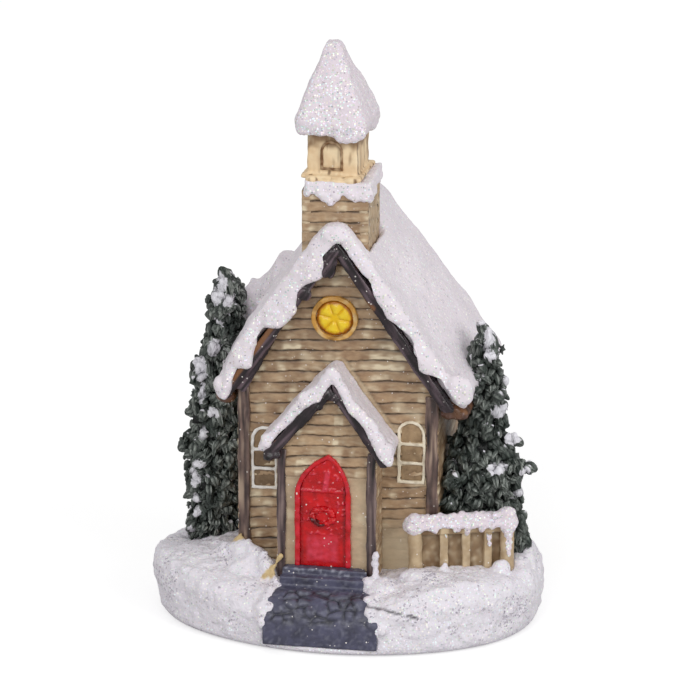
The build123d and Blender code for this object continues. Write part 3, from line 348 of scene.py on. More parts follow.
def casting(node, skin):
    """A merged copy of a CAD node, ready to sculpt, with even faces that are skin millimetres wide."""
    piece = bpy.data.objects.new("cast_" + node, frame["nodes"][node].data.copy())
    bpy.context.scene.collection.objects.link(piece)
    piece.data.materials.clear()
    edit(piece, (bpy.ops.mesh.remove_doubles, {"threshold": WELD_MM * MM}))
    shape_with(piece, "REMESH", mode="VOXEL", voxel_size=skin * MM)
    return piece


bpy.ops.object.select_all(action="DESELECT")
bpy.ops.mesh.primitive_ico_sphere_add(subdivisions=3, radius=1.0)
pellet = bpy.context.active_object
pellet_mesh = pellet.data
bpy.data.objects.remove(pellet)


def paste_ball(place, size, turn=(0.0, 0.0, 0.0)):
    """A ball of paste pulled to its half sizes in millimetres, turned and set at its place."""
    mesh = pellet_mesh.copy()
    mesh.transform(Matrix.LocRotScale(Vector(place) * MM, Euler(turn), Vector(size) * MM))
    ball = bpy.data.objects.new("paste", mesh)
    bpy.context.scene.collection.objects.link(ball)
    return ball


def knead(piece, balls, skin, smoothing):
    """Presses balls of paste into a piece and gives the whole one even skin."""
    join(piece, balls)
    shape_with(piece, "REMESH", mode="VOXEL", voxel_size=skin * MM)
    shape_with(piece, "SMOOTH", factor=0.5, iterations=smoothing)


def sculpt(piece, touch):
    """Moves each point by what touch gives in millimetres, and keeps its three masks as paint."""
    mesh = piece.data
    mesh.update()
    paint = mesh.attributes.get("paint") or mesh.attributes.new("paint", "FLOAT_COLOR", "POINT")
    places = []
    colours = []
    for vertex in mesh.vertices:
        place = vertex.co / MM
        move, masks = touch(place, vertex.normal)
        places.extend((place + move) * MM)
        colours.extend((*masks, 1.0))
    mesh.vertices.foreach_set("co", places)
    paint.data.foreach_set("color", colours)
    mesh.update()


def show(piece, material, slot, *nodes):
    """Gives a finished piece its material and its body, and hides the CAD nodes that it stands for."""
    piece.data.materials.clear()
    piece.data.materials.append(material)
    piece.data.shade_smooth()
    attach(piece, "house")
    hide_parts(*nodes)


def carve_out(node, skin, touch, material, slot):
    """A piece that is cast, sculpted and shown in one go."""
    piece = casting(node, skin)
    sculpt(piece, touch)
    show(piece, material, slot, node)


def uneven(place, size, seed=0.0):
    """Smooth unevenness from about -1 to 1, with bumps that are size millimetres wide."""
    return noise.noise(place / size + Vector((seed, 1.7 * seed, -2.3 * seed)))


def ramp(low, high, value):
    """A smooth rise from 0 at low to 1 at high."""
    share = min(1.0, max(0.0, (value - low) / (high - low)))
    return share * share * (3 - 2 * share)


def fall(low, high, value):
    """A smooth fall from 1 at low to 0 at high."""
    return 1 - ramp(low, high, value)


def hump(distance, width):
    """A round hump, 1 at its middle."""
    return math.exp(-((distance / width) ** 2))


def follow(points, x):
    """The height at x of a line through (x, height) points."""
    for (x_low, low), (x_high, high) in zip(points, points[1:]):
        if x_low <= x <= x_high:
            return low + (high - low) * (x - x_low) / (x_high - x_low)
    return points[0][1] if x < points[0][0] else points[-1][1]


# Carved boarding
BOARD_PITCH = 2.05
BOARD_RISE = 0.055


def boarding(along, up, seed, strength):
    """Hand-carved lapped boards at a place on a wall: how far out, how deep in wash and painted shadow, and
    how worn they are.
    """
    here = Vector((along, up, seed * 31.0))
    wander = 0.4 * uneven(here, 9.0) + 0.16 * uneven(here, 3.0, 2.0) + 0.12 * uneven(here, 1.1, 3.0)
    row = (up - BOARD_RISE * along + wander) / BOARD_PITCH
    number = math.floor(row)
    share = row - number
    force = strength * min(1.0, max(0.12, 0.8 + 1.3 * noise.noise(Vector((along / 3.6, number * 3.7, seed)))))
    near = min(share, 1 - share) * BOARD_PITCH
    groove = force * hump(near, 0.17 + 0.09 * uneven(here, 1.6, 12.0))
    # Painted shadow on the top of each board, under the lap of the board above, added to the wash
    shadow = 0.25 * force * hump((1 - share) * BOARD_PITCH, 0.3)
    lower = hump(share * BOARD_PITCH - 0.7, 0.55)
    fine = uneven(Vector((along * 0.6, up * 1.6, seed * 17.0)), 0.8, 7.0)
    patch = ramp(0.02, 0.34, noise.noise(Vector((along / 2.4, number * 5.1, seed + 3.0))))
    brush = patch * (0.5 + 0.5 * fine) + 0.35 * max(0.0, fine)
    scuff = max(0.0, uneven(Vector((along, up, seed * 5.0)), 3.2, 9.0) - 0.25)
    tone = max(0.0, 0.6 * noise.noise(Vector((along / 6.0, number * 1.9, seed + 7.0))))
    chips = 0.07 * uneven(here, 0.7, 5.0)
    out = force * 0.2 * (1 - share) - 0.3 * groove + chips * (0.4 + strength)
    return out, min(1.0, groove + shadow + 0.45 * tone), min(0.8, (1.2 * lower + 0.2) * brush * force + scuff)


def carved_side(width, low, high, slope, steps):
    """One wall facing -Y: a fine grid, with its top cut to a gable where it has a slope."""
    bpy.ops.object.select_all(action="DESELECT")
    bpy.ops.mesh.primitive_grid_add(
        x_subdivisions=round(width / steps[0]), y_subdivisions=round((high - low) / steps[1]), size=1.0)
    side = bpy.context.active_object
    side.scale = (width * MM, (high - low) * MM, 1.0)
    side.rotation_euler = (math.pi / 2, 0.0, 0.0)
    side.location = (0.0, 0.0, (low + high) / 2 * MM)
    bpy.ops.object.transform_apply(location=True, rotation=True, scale=True)
    if slope:
        edit(side, *[(bpy.ops.mesh.bisect, {
            "plane_co": (0.0, 0.0, high * MM), "clear_outer": True,
            "plane_no": Vector((across, 0.0, 1.0)).normalized()}) for across in (-slope, slope)])
    return side


def back_side(side, thickness):
    """Gives a carved wall its rim and its flat inner face."""
    pick(side)
    bpy.ops.object.mode_set(mode="EDIT")
    bpy.ops.mesh.select_mode(type="EDGE")
    bpy.ops.mesh.select_all(action="DESELECT")
    bpy.ops.mesh.select_non_manifold(
        extend=False, use_wire=False, use_boundary=True, use_multi_face=False, use_non_contiguous=False,
        use_verts=False)
    bpy.ops.mesh.extrude_edges_move(TRANSFORM_OT_translate={"value": (0.0, thickness * MM, 0.0)})
    bpy.ops.mesh.edge_face_add()
    bpy.ops.object.mode_set(mode="OBJECT")


BACK_COARSENESS = (1.6, 1.5)


def carved_walls(node, x_span, y_span, low, eave, slope, thickness, steps, carve):
    """Four carved walls round a room, with gables at the front and back where the roof has a slope."""
    x_low, x_high = x_span
    y_low, y_high = y_span
    middle = Vector(((x_low + x_high) / 2, (y_low + y_high) / 2, 0.0))
    width, depth = x_high - x_low, y_high - y_low
    top = eave + slope * width / 2
    sides = []
    for face, turn, length, high, pitch, reach in (
        ("front", 0.0, width, top, slope, depth / 2),
        ("right", math.pi / 2, depth, eave, 0.0, width / 2),
        ("back", math.pi, width, top, slope, depth / 2),
        ("left", -math.pi / 2, depth, eave, 0.0, width / 2),
    ):
        coarse = (1.0, 1.0) if face == "front" else BACK_COARSENESS
        side = carved_side(length, low, high, pitch, (steps[0] * coarse[0], steps[1] * coarse[1]))

        def touch(place, facing):
            out, wash, worn = carve(face, place.x, place.z)
            return Vector((0.0, -out, 0.0)), (wash, worn, 0.0)

        sculpt(side, touch)
        back_side(side, thickness)
        outward = Matrix.Translation(Vector((0.0, -reach, 0.0)) * MM)
        side.data.transform(Matrix.Translation(middle * MM) @ Matrix.Rotation(turn, 4, "Z") @ outward)
        sides.append(side)
    walls = sides[0]
    join(walls, sides[1:])
    walls.name = "cast_" + node
    edit(walls, (bpy.ops.mesh.normals_make_consistent, {"inside": False}))
    return walls


def span(node, axis):
    """The lowest and highest place of a CAD node along an axis, in millimetres."""
    low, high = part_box(node)
    return low[axis] / MM, high[axis] / MM


def middle_of(node):
    """The middle of a CAD node, in millimetres."""
    return [sum(span(node, axis)) / 2 for axis in range(3)]


house_x, house_y, house_z = (span("house_walls", axis) for axis in range(3))
porch_x, porch_y, porch_z = (span("porch_body", axis) for axis in range(3))
tower_x, tower_y, tower_z = (span("tower_shaft", axis) for axis in range(3))
ROOF_SLOPE = math.tan(math.radians(55.5))
PORCH_SLOPE = math.tan(math.radians(52.0))
house_middle = middle_of("house_walls")[0]
house_eave = house_z[1] - ROOF_SLOPE * (house_x[1] - house_x[0]) / 2
porch_middle = middle_of("porch_body")[0]
porch_eave = porch_z[1] - PORCH_SLOPE * (porch_x[1] - porch_x[0]) / 2


# Plain plaster along the porch roof's right slope: the top of its edge, the edge's way down and its length
PLASTER_TOP = (0.9, 52.3)
PLASTER_WAY = (0.581, 0.816)
PLASTER_LENGTH = 17.9


def carve_house(face, along, up):
    """Boards all over, with plain plaster along the porch roof's right slope and at the foot to its right.
    Painted shade lies high on the right wall under the eave, and the wash deepens towards the top of the
    front.
    """
    if face != "front":
        out, wash, worn = boarding(along, up, {"right": 2, "back": 3, "left": 4}[face], 1.0)
        if face == "right":
            # Painted shade under the right eave, carried in the wash
            shade = 0.62 * ramp(31.0, 36.0, up + uneven(Vector((along, up, 3.0)), 2.5))
            wash, worn = max(wash, shade), worn * (1 - shade)
        return out, wash, worn
    across, height = along - PLASTER_TOP[0], up - PLASTER_TOP[1]
    above = across * PLASTER_WAY[1] + height * PLASTER_WAY[0]
    down = (across * PLASTER_WAY[0] - height * PLASTER_WAY[1]) / PLASTER_LENGTH
    beside = ramp(0.0, 0.06, down) * fall(0.94, 1.0, down) * ramp(-1.0, 1.0, along)
    line = beside * hump(above, 0.2)
    foot = ramp(6.0, 9.0, along) * fall(16.0, 24.0, up)
    plain = max(0.85 * foot, 0.8 * beside * fall(-0.3, 0.3, above))
    out, wash, worn = boarding(along, up, 1, 1.0 - plain)
    # The wash deepens towards the top of the front
    upward_wash = 0.1 * ramp(44.0, 60.0, up) + 0.04
    wash = min(1.0, wash * (1 - 0.5 * plain) + 0.4 * line + upward_wash * (1 - plain))
    return out - 0.14 * line, wash, min(0.85, worn + (0.32 + 0.4 * foot) * plain)


def carve_porch(face, along, up):
    """Boards in the gable over the door, and plain plaster beside the door."""
    if face != "front":
        return boarding(along, up, 5 + len(face), 0.7)
    boards = ramp(29.0, 33.0, up)
    out, wash, worn = boarding(along, up, 5 + len(face), 0.04 + 0.96 * boards)
    return out, wash * (0.4 + 0.6 * boards), min(0.85, worn + 0.3 * (1 - boards))


def carve_tower(face, along, up):
    """Boards at the front and back, and pebbly plaster at the sides."""
    if face in ("front", "back"):
        return boarding(along, up, 11 + len(face), 0.9)
    here = Vector((along, up * 0.8, 40.0))
    nearest = noise.voronoi(here / 1.7)[0]
    seam = hump(nearest[1] - nearest[0], 0.16)
    return 0.25 * (1 - seam) - 0.2, 0.35 * seam, 0.2 + max(0.0, 0.5 * uneven(here, 1.2))


# The porch's peak leans a little to the right of its middle
PORCH_RUN = 11.4
PEAK_LEAN = 1.2


def lean_peak(piece):
    """Pushes the porch's peak to the right and leaves its eaves where they are."""
    for vertex in piece.data.vertices:
        place = vertex.co / MM
        share = max(0.0, 1 - abs(place.x - porch_middle) / PORCH_RUN)
        vertex.co.x += PEAK_LEAN * share * ramp(32.0, 38.0, place.z) * MM
    piece.data.update()


house_shell = carved_walls("house_walls", house_x, house_y, house_z[0], house_eave, ROOF_SLOPE,
                           thickness=2.3, steps=(0.36, 0.13), carve=carve_house)
show(house_shell, CLAPBOARD, "painted_clapboard", "house_walls")
porch_shell = carved_walls("porch_body", porch_x, porch_y, porch_z[0], porch_eave, PORCH_SLOPE,
                           thickness=1.5, steps=(0.26, 0.13), carve=carve_porch)
lean_peak(porch_shell)
show(porch_shell, CLAPBOARD, "painted_clapboard", "porch_body")
tower_shell = carved_walls("tower_shaft", tower_x, tower_y, tower_z[0], tower_z[1], 0.0,
                           thickness=1.5, steps=(0.2, 0.13), carve=carve_tower)
show(tower_shell, CLAPBOARD, "painted_clapboard", "tower_shaft")


# Dark timbers, with drops of paint as (place, half sizes)
TIMBER_SKIN = 0.24
DECK_SKIN = 0.4
APEX_DROPS = (
    ((-1.8, -9.5, 71.0), (1.45, 0.8, 3.0)), ((-1.0, -9.5, 73.2), (1.6, 0.8, 1.1)),
    ((-6.6, -9.4, 64.9), (1.5, 0.7, 1.3)), ((-2.6, -9.6, 69.4), (0.9, 0.7, 1.2)),
    ((-2.4, -9.5, 72.0), (1.3, 0.8, 1.5)),
)
PORCH_DROPS = (
    ((-12.2, -14.3, 34.7), (0.9, 0.8, 0.8)), ((-11.0, -14.2, 35.0), (1.0, 0.8, 0.7)),
    ((-2.0, -14.3, 47.3), (1.6, 0.6, 1.0)), ((-4.2, -14.3, 45.0), (1.0, 0.6, 0.8)),
    ((-0.7, -14.3, 46.6), (0.8, 0.6, 1.0)),
)
BEAD_TOP = Vector((-11.8, -8.6, 58.0))
BEAD_FOOT = Vector((-18.1, -8.6, 45.8))
BEAD_STEPS = 15
BEAD_SIZE = (1.05, 0.5, 1.05)
FASCIA_SIZE = (1.9, 1.4, 1.3)
UPRIGHT = (0.0, 0.0, 1.0)
LENGTHWISE = (0.0, 1.0, 0.0)
NO_OCHRE = -1.0


def timber(node, lie, seed, material, ochre=0.0, balls=()):
    """A brushed timber with grain along it, knocked edges, drops of paint and patches of bare ochre."""
    way = Vector(lie).normalized()
    skin = DECK_SKIN if node == "roof_deck" else TIMBER_SKIN
    piece = casting(node, skin)
    if balls:
        knead(piece, balls, skin, smoothing=1)
    shape_with(piece, "SMOOTH", factor=0.5, iterations=2)

    def touch(place, facing):
        along = place.dot(way)
        cross = place - way * along
        streak = noise.noise(cross / 0.5 + way * (along / 6.0) + Vector((seed, seed, seed)))
        swell = 0.24 * uneven(place, 4.0, seed) + 0.14 * uneven(place, 1.3, seed + 2)
        bare = ramp(0.1, 0.25, uneven(place, 3.2, seed + 4) + ochre - 0.5)
        if node == "roof_deck":
            bare = max(bare, fall(43.6, 45.0, place.z) * (0.45 + 0.5 * uneven(place, 1.8, seed)))
        if node == "bargeboard_front_left":
            line = span("roof_deck", 2)[1] - ROOF_SLOPE * abs(place.x - house_middle)
            bare = max(bare, ramp(-1.7, -1.1, place.z - line) * fall(-11.0, -9.5, place.x))
        pale = max(0.0, streak - 0.12) * 1.8
        dark = max(0.0, -streak - 0.08) * 1.8
        return facing * (swell + 0.12 * streak), (min(1.0, dark), min(0.7, pale), bare)

    sculpt(piece, touch)
    if node.startswith("porch"):
        lean_peak(piece)
    show(piece, material, "painted_timber", node)


roof_way = {"left": (1.0, 0.0, ROOF_SLOPE), "right": (-1.0, 0.0, ROOF_SLOPE)}
porch_way = {"left": (1.0, 0.0, PORCH_SLOPE), "right": (-1.0, 0.0, PORCH_SLOPE)}
apex_drops = [paste_ball(*drop) for drop in APEX_DROPS]
apex_drops += [
    paste_ball(BEAD_TOP.lerp(BEAD_FOOT, step / BEAD_STEPS), BEAD_SIZE) for step in range(BEAD_STEPS + 1)
]
porch_drops = [paste_ball(*drop) for drop in PORCH_DROPS]
fascia = [paste_ball((x, y, 43.0), FASCIA_SIZE) for x in (-21.8, 20.4) for y in range(-6, 16, 2)]
fascia += [paste_ball((x, y, 42.2), FASCIA_SIZE) for x in (19.9, 21.6) for y in range(-6, 6, 2)]
for number, side in enumerate(("left", "right")):
    for end in ("front", "back"):
        drops = apex_drops if (side, end) == ("left", "front") else ()
        timber(f"bargeboard_{end}_{side}", roof_way[side], 3.1 + number + len(end), BOARD_TIMBER, 0.12, drops)
        timber(f"corner_post_{end}_{side}", UPRIGHT, 7.3 + number + len(end), POST_TIMBER, NO_OCHRE)
    drops = porch_drops if side == "left" else ()
    timber(f"porch_bargeboard_{side}", porch_way[side], 12.7 + number, BOARD_TIMBER, 0.0, drops)
    timber(f"porch_post_{side}", UPRIGHT, 15.9 + number, PORCH_TIMBER, NO_OCHRE)
timber("roof_deck", LENGTHWISE, 21.4, BOARD_TIMBER, 0.46, fascia)
timber("porch_roof_deck", LENGTHWISE, 25.8, BOARD_TIMBER, 0.2)


# Snow on the roofs
def snow_touch(seed, swell, knobs):
    """Lumpy, grainy snow paste, which holds more glitter, and with it more painted glints, where it faces the
    front.
    """
    def touch(place, facing):
        lumps = swell * uneven(place, 5.5, seed) + knobs * uneven(place, 2.0, seed + 1)
        grains = 0.45 * knobs * uneven(place, 0.75, seed + 2)
        # The green mask sets the glitter and its painted glints, most on faces turned to the front
        return facing * (lumps + grains), (0.0, 0.55 + 0.45 * ramp(-0.1, 0.6, -facing.y), 0.0)

    return touch


ridge_z = span("roof_deck", 2)[1]
board_front = span("bargeboard_front_left", 1)[0]
board_back = span("bargeboard_back_left", 1)[1]

# How far the snow's front hem hangs below the roof's line, or lies above it, as (x, height)
ROOF_HEM = [
    (-22.6, -0.6), (-21.2, -1.0), (-20.2, 0.2), (-19.1, 0.3), (-17.1, -2.6), (-16.5, -1.2), (-16.0, 1.0),
    (-14.1, 1.0), (-12.8, -0.8), (-11.3, -2.8), (-10.0, -3.4), (-8.5, -3.9), (-8.3, -1.2), (-7.2, -0.7),
    (-5.7, -2.2), (-3.7, -4.0), (-3.3, -1.8), (-2.2, -0.2), (-0.8, -1.0), (0.2, 0.2), (3.3, 0.5), (5.5, 1.4),
    (6.8, 0.0), (9.6, -0.3), (11.9, 1.3), (13.4, 2.0), (14.5, 1.2), (15.0, -1.6), (16.6, -0.2), (18.6, 2.4),
    (19.4, 2.6),
]

# How the left slope's snow has settled at its back, as (x, height)
LEFT_SETTLE = [
    (-23.0, -0.2), (-21.6, -0.8), (-20.7, -2.2), (-19.7, -3.0), (-18.9, -3.0), (-17.6, -2.0), (-16.6, -0.8),
    (-15.8, 0.5), (-14.8, 0.4), (-13.9, 0.0), (-12.8, -1.2), (-10.0, 0.0),
]

# Lumps at the ends of the eaves, as (x, z, half width, half height)
RIGHT_DRIP = ((20.9, 46.9, 1.3, 2.2), (22.2, 46.7, 1.4, 2.2), (23.3, 47.1, 1.2, 2.1), (21.4, 49.0, 1.6, 1.8),
              (23.0, 48.6, 1.5, 1.8))
LEFT_DRIP = ((-24.2, 46.9, 1.2, 1.6), (-23.6, 45.7, 1.2, 1.2))
HEM_START = -22.4
HEM_STEP = 0.44
HEM_COUNT = 96
HEM_OPEN = 0.1
BACK_MIRROR = -1.6
EAVE_BACK = 18.5


def roof_line(x):
    """The height of the main roof's boards."""
    return ridge_z - ROOF_SLOPE * abs(x - house_middle)


def snow_roof():
    """The main roof's snow: lobes that hang over the boards, bites that show them and drips at the eaves.
    Towards the back it is deeper on the right slope, and has settled on the left one."""
    random.seed(41)
    piece = casting("roof_snow", skin=0.5)
    balls = []
    for front in (True, False):
        for step in range(HEM_COUNT):
            x = HEM_START + step * HEM_STEP
            hang = follow(ROOF_HEM, x if front else BACK_MIRROR - x)
            if hang > HEM_OPEN:
                continue
            size = 1.15 + 0.25 * random.random()
            z = roof_line(x) + hang + size * 1.25
            y = board_front + 0.15 if front else board_back - 0.15
            while z < roof_line(x) + 2.2:
                balls.append(paste_ball((x, y, z), (size, 0.85 + 0.3 * random.random(), size)))
                z += 1.0
    for drip, inset, deep in ((RIGHT_DRIP, 0.6, 1.4), (LEFT_DRIP, 0.9, 1.6)):
        balls += [paste_ball((x, board_front + inset, z), (wide, deep, tall)) for x, z, wide, tall in drip]
    for side, eave_x in ((-1, -23.6), (1, 22.0)):
        y = board_front + 2.5
        while y < EAVE_BACK:
            reach = 1.3 + 0.9 * random.random()
            place = (eave_x + side * 0.3, y, 45.2 + 0.9 * random.random())
            balls.append(paste_ball(place, (1.3, 1.2 + 0.8 * random.random(), reach)))
            y += 1.5 + 1.2 * random.random()
    knead(piece, balls, skin=0.42, smoothing=10)
    slope_out = Vector((ROOF_SLOPE, 0.0, 1.0)).normalized()

    def touch(place, facing):
        move, masks = snow_touch(2.0, 0.45, 0.26 - 0.16 * ramp(0.2, 0.6, facing.x))(place, facing)
        crest = hump(place.x - house_middle, 3.4) * fall(-6.6, -4.6, place.y)
        move = move - Vector((0.0, 0.0, 0.9 * crest * ramp(-0.1, 0.3, facing.z)))
        near = fall(0.9, 2.4, place.y - board_front)
        lift = follow(ROOF_HEM, place.x)
        if near > 0 and lift > 0:
            short = roof_line(place.x) + lift + 0.4 - place.z
            if short > 0:
                move = move + Vector((0.0, 0.0, min(short, 2.4) * near))
        deep = ramp(-5.0, 12.0, place.y) * ramp(-1.0, 3.0, place.x) * ramp(-0.2, 0.4, facing.dot(slope_out))
        move = move + slope_out * (deep * (1.2 + 1.5 * ramp(2.0, 18.0, place.x)))
        settle = ramp(2.0, 11.0, place.y) * ramp(-0.2, 0.4, facing.z) * fall(-14.0, -10.0, place.x)
        move = move + Vector((0.0, 0.0, follow(LEFT_SETTLE, place.x) * settle))
        eave = fall(-24.8, -18.5, place.x) * (1 - 0.6 * ramp(-6.0, 6.0, place.y))
        return move + Vector((1.7, 0.0, -0.7)) * eave, masks

    sculpt(piece, touch)
    shape_with(piece, "SMOOTH", factor=0.4, iterations=1)
    show(piece, ROOF_SNOW, "glitter_snow", "roof_snow")


snow_roof()

porch_ridge = span("porch_roof_deck", 2)[1]
porch_face = span("porch_bargeboard_left", 1)[0]

# The porch snow's hem as (x, height), and rolls at its eaves as (x, y, z, half width, half height)
PORCH_HEM = [
    (-13.2, -0.4), (-12.3, 0.4), (-10.5, 0.7), (-9.3, 0.6), (-8.4, 1.0), (-7.5, 0.5), (-5.5, -0.4),
    (-4.3, -1.4), (-2.6, -0.6), (-1.4, 0.2), (1.0, -0.4), (2.2, -1.3), (4.2, -0.6), (6.0, 0.1), (7.4, -0.2),
    (7.8, -0.9), (8.6, -1.6), (9.4, -1.6),
]
PORCH_ROLLS = ((9.8, -13.5, 36.8, 1.1, 1.5), (9.6, -11.6, 37.0, 0.9, 1.4), (9.6, -9.4, 37.0, 0.9, 1.4),
               (-13.2, -13.0, 36.6, 0.9, 1.3))
PORCH_HEM_START = -12.8
PORCH_HEM_STEP = 0.4
PORCH_HEM_COUNT = 58


def snow_porch():
    """The porch roof's snow, thin on the left and rolled over the right eave."""
    random.seed(17)
    piece = casting("porch_snow", skin=0.4)
    balls = []
    for step in range(PORCH_HEM_COUNT):
        x = PORCH_HEM_START + step * PORCH_HEM_STEP
        hang = follow(PORCH_HEM, x)
        if hang > HEM_OPEN:
            continue
        size = 0.85 + 0.2 * random.random()
        z = porch_ridge - PORCH_SLOPE * abs(x - porch_middle) + hang + size * 1.2
        balls.append(paste_ball((x, porch_face + 0.2, z), (size, 0.7, size)))
        balls.append(paste_ball((x, porch_face + 0.6, z + 0.9), (size, 0.9, size)))
    balls += [paste_ball((x, y, z), (wide, 1.5, tall)) for x, y, z, wide, tall in PORCH_ROLLS]
    knead(piece, balls, skin=0.34, smoothing=4)
    sculpt(piece, snow_touch(9.0, 0.4, 0.2))
    lean_peak(piece)
    show(piece, ROOF_SNOW, "glitter_snow", "porch_snow")


snow_porch()


# Drips at the ledge's front, as (x, drop, half width), and where they hang at its sides
LEDGE_DRIPS = ((-7.2, 0.1, 0.8), (-4.2, 0.0, 0.8), (-3.2, 0.9, 0.9), (-2.2, 1.9, 0.85), (-1.2, 0.8, 0.8),
               (1.6, 0.3, 0.9), (2.6, 0.9, 1.0), (3.9, 0.6, 1.0), (4.6, 0.2, 0.9))
SIDE_DRIPS = (-5.5, -3.4, -1.0, 1.2, 3.6, 5.6)
TOWER_MIRROR = -2.8


def snow_ledge():
    """The tower's snowy ledge, with drips that run down its boards."""
    random.seed(23)
    piece = casting("tower_ledge_snow", skin=0.36)
    (left, right), (front, back), (low, _) = (span("tower_ledge_snow", axis) for axis in range(3))
    balls = []
    for x, drop, wide in LEDGE_DRIPS:
        balls.append(paste_ball((x, front + 0.35, low + 0.7 - drop), (wide, 0.7, 1.1)))
        balls.append(paste_ball((TOWER_MIRROR - x, back - 0.35, low + 0.7 - drop), (wide, 0.7, 1.1)))
    for y in SIDE_DRIPS:
        drop = random.random()
        balls.append(paste_ball((right - 0.4, y, low + 0.7 - drop), (0.7, 1.1, 1.1)))
        balls.append(paste_ball((left + 0.4, -y, low + 0.7 - drop), (0.7, 1.1, 1.1)))
    knead(piece, balls, skin=0.3, smoothing=2)

    def touch(place, facing):
        move, masks = snow_touch(5.0, 0.3, 0.28)(place, facing)
        return move + Vector((1.1 * fall(left - 0.3, left + 3.6, place.x), 0.0, 0.0)), masks

    sculpt(piece, touch)
    show(piece, ROOF_SNOW, "glitter_snow", "tower_ledge_snow")


snow_ledge()


SPIRE_HEM = 5.6
SPIRE_TURN = math.radians(-4.0)
HEM_LUMPS = 10


def snow_spire():
    """The spire's cap of snow, with a thick uneven hem."""
    random.seed(29)
    piece = casting("spire_snow_cap", skin=0.42)
    low, high = span("spire_snow_cap", 2)
    middle = Vector((*middle_of("spire_snow_cap")[:2], 0.0))
    turn = Matrix.Rotation(SPIRE_TURN, 3, "Z")
    balls = []
    for edge in range(4):
        for number in range(HEM_LUMPS):
            share = number / (HEM_LUMPS - 1) * 2 - 1
            local = Vector(((share, -1, 0), (1, share, 0), (-share, 1, 0), (-1, -share, 0))[edge]) * SPIRE_HEM
            dip = 0.9 * hump(share - 0.55, 0.35) + 0.5 * random.random()
            size = 0.9 + 0.3 * random.random()
            place = middle + turn @ local + Vector((0, 0, low + 1.6 - dip))
            balls.append(paste_ball(place, (size, size, size * 1.1)))
    knead(piece, balls, skin=0.36, smoothing=6)

    def touch(place, facing):
        move, masks = snow_touch(14.0, 0.35, 0.16)(place, facing)
        point = ramp(high - 3.0, high, place.z)
        slim = 0.2 * ramp(102.5, 108.5, place.z) + 0.1 * point * point
        return move + Vector((-2.6 - place.x, -place.y, 0.0)) * slim - Vector((0.0, 0.0, 0.2 * point)), masks

    sculpt(piece, touch)
    show(piece, SPIRE_SNOW, "glitter_snow", "spire_snow_cap")


snow_spire()


# Belfry, with drips of plaster at its foot as (x, drop, half width)
BELFRY_DRIPS = ((-5.6, 0.0, 1.4), (-3.4, 0.5, 2.0), (-1.0, 0.3, 1.8), (1.4, -0.1, 1.6))


def plaster_belfry():
    """The cream belfry, with brown wash in its corners and round its window, and painted shade on its right
    face and under the snow cap.
    """
    piece = casting("belfry", skin=0.22)
    drips = [paste_ball((x, -5.6, 85.7 - drop), (wide, 0.9, 0.8)) for x, drop, wide in BELFRY_DRIPS]
    knead(piece, drips, skin=0.2, smoothing=1)

    def touch(place, facing):
        rub = 0.12 * uneven(place, 2.2, 3.0) + 0.06 * uneven(place, 0.8, 4.0)
        stroke = noise.noise(Vector((place.x / 0.7, place.y / 0.7, place.z / 4.0)))
        side = ramp(0.2, 0.7, facing.x)
        eave = ramp(90.8, 92.8, place.z + 1.2 * uneven(place, 1.5))
        corner = fall(-6.9, -6.2, place.x) * ramp(86.5, 87.5, place.z)
        corner *= max(0.0, 0.4 + uneven(place, 1.4, 6.0))
        # Painted shade: the wash darkens the right-facing side and the band under the snow cap
        wash = max(0.0, stroke - 0.3 + 0.26 * side) * 2.2 + 0.8 * eave + 0.6 * corner
        return facing * rub, (min(0.9, wash), max(0.0, -stroke - 0.25), 0.0)

    sculpt(piece, touch)
    show(piece, CREAM, "cream_paint", "belfry")
    carve_out("belfry_window_frame", 0.12, lambda place, facing: (
        facing * 0.05 * uneven(place, 0.8), (0.8 + 0.45 * uneven(place, 0.8, 2.0), 0.0, 0.0)),
        CREAM, "cream_paint")


plaster_belfry()


# Round window
PETAL_TURN = 0.5


def rose_window():
    """A yellow lens with plain petals pressed in it, in a washed ring."""
    carve_out("rose_window_ring", 0.16, lambda place, facing: (
        facing * 0.14 * uneven(place, 1.6),
        (max(0.0, 0.9 * uneven(place, 1.3, 2.0)), max(0.0, 0.8 * uneven(place, 1.6, 5.0)), 0.0)),
        RING_OCHRE, "painted_clapboard")
    centre = Vector(middle_of("rose_window_lens"))

    def touch(place, facing):
        away = place - centre
        radius = math.hypot(away.x, away.z)
        wave = abs(math.sin(3 * math.atan2(away.z, away.x) + PETAL_TURN))
        petal = wave * ramp(0.5, 1.3, radius) * fall(2.3, 2.9, radius)
        rim = ramp(2.55, 3.1, radius + 0.25 * uneven(place, 1.0))
        seam = fall(0.0, 0.35, wave) * ramp(0.4, 0.8, radius)
        out = 0.3 * petal - 0.15 * seam if facing.y < -0.3 else 0.0
        return Vector((0.0, -out, 0.0)), (min(1.0, 0.95 * rim + 0.25 * seam), 0.5 * petal, 0)

    carve_out("rose_window_lens", 0.13, touch, LENS_YELLOW, "yellow_lens")


rose_window()


# Side windows, the left one with darker panes below
for side, bend, material, below in (("left", 3.0, WHITE_TRIM, 0.45), ("right", 8.0, CREAM_TRIM, 0.0)):
    carve_out(f"window_frame_{side}", 0.13, lambda place, facing: (
        facing * (0.12 * uneven(place, 0.9, bend) - 0.09) + Vector((0.3 * uneven(place, 4.0, bend), 0, 0)),
        (max(0.0, 0.9 * uneven(place, 1.3, bend + 1)), 0.2, 0.0)), material, "white_paint")
    carve_out(f"window_panes_{side}", 0.1, lambda place, facing: (
        facing * 0.03 * uneven(place, 1.0),
        (max(0.0, 0.6 * uneven(place, 2.2, bend + 2)) + below * fall(32.2, 33.0, place.z), 0.0, 0.0)),
        WINDOW_TAN, "window_paint")


# Door
DOOR_HALF = 5.4
DOOR_LEAN = 1.1
DOOR_SPREAD = 0.06
RAIL_HEIGHT = 14.8
door_middle = middle_of("door_frame")[0]
door_foot = span("door_frame", 2)[0]


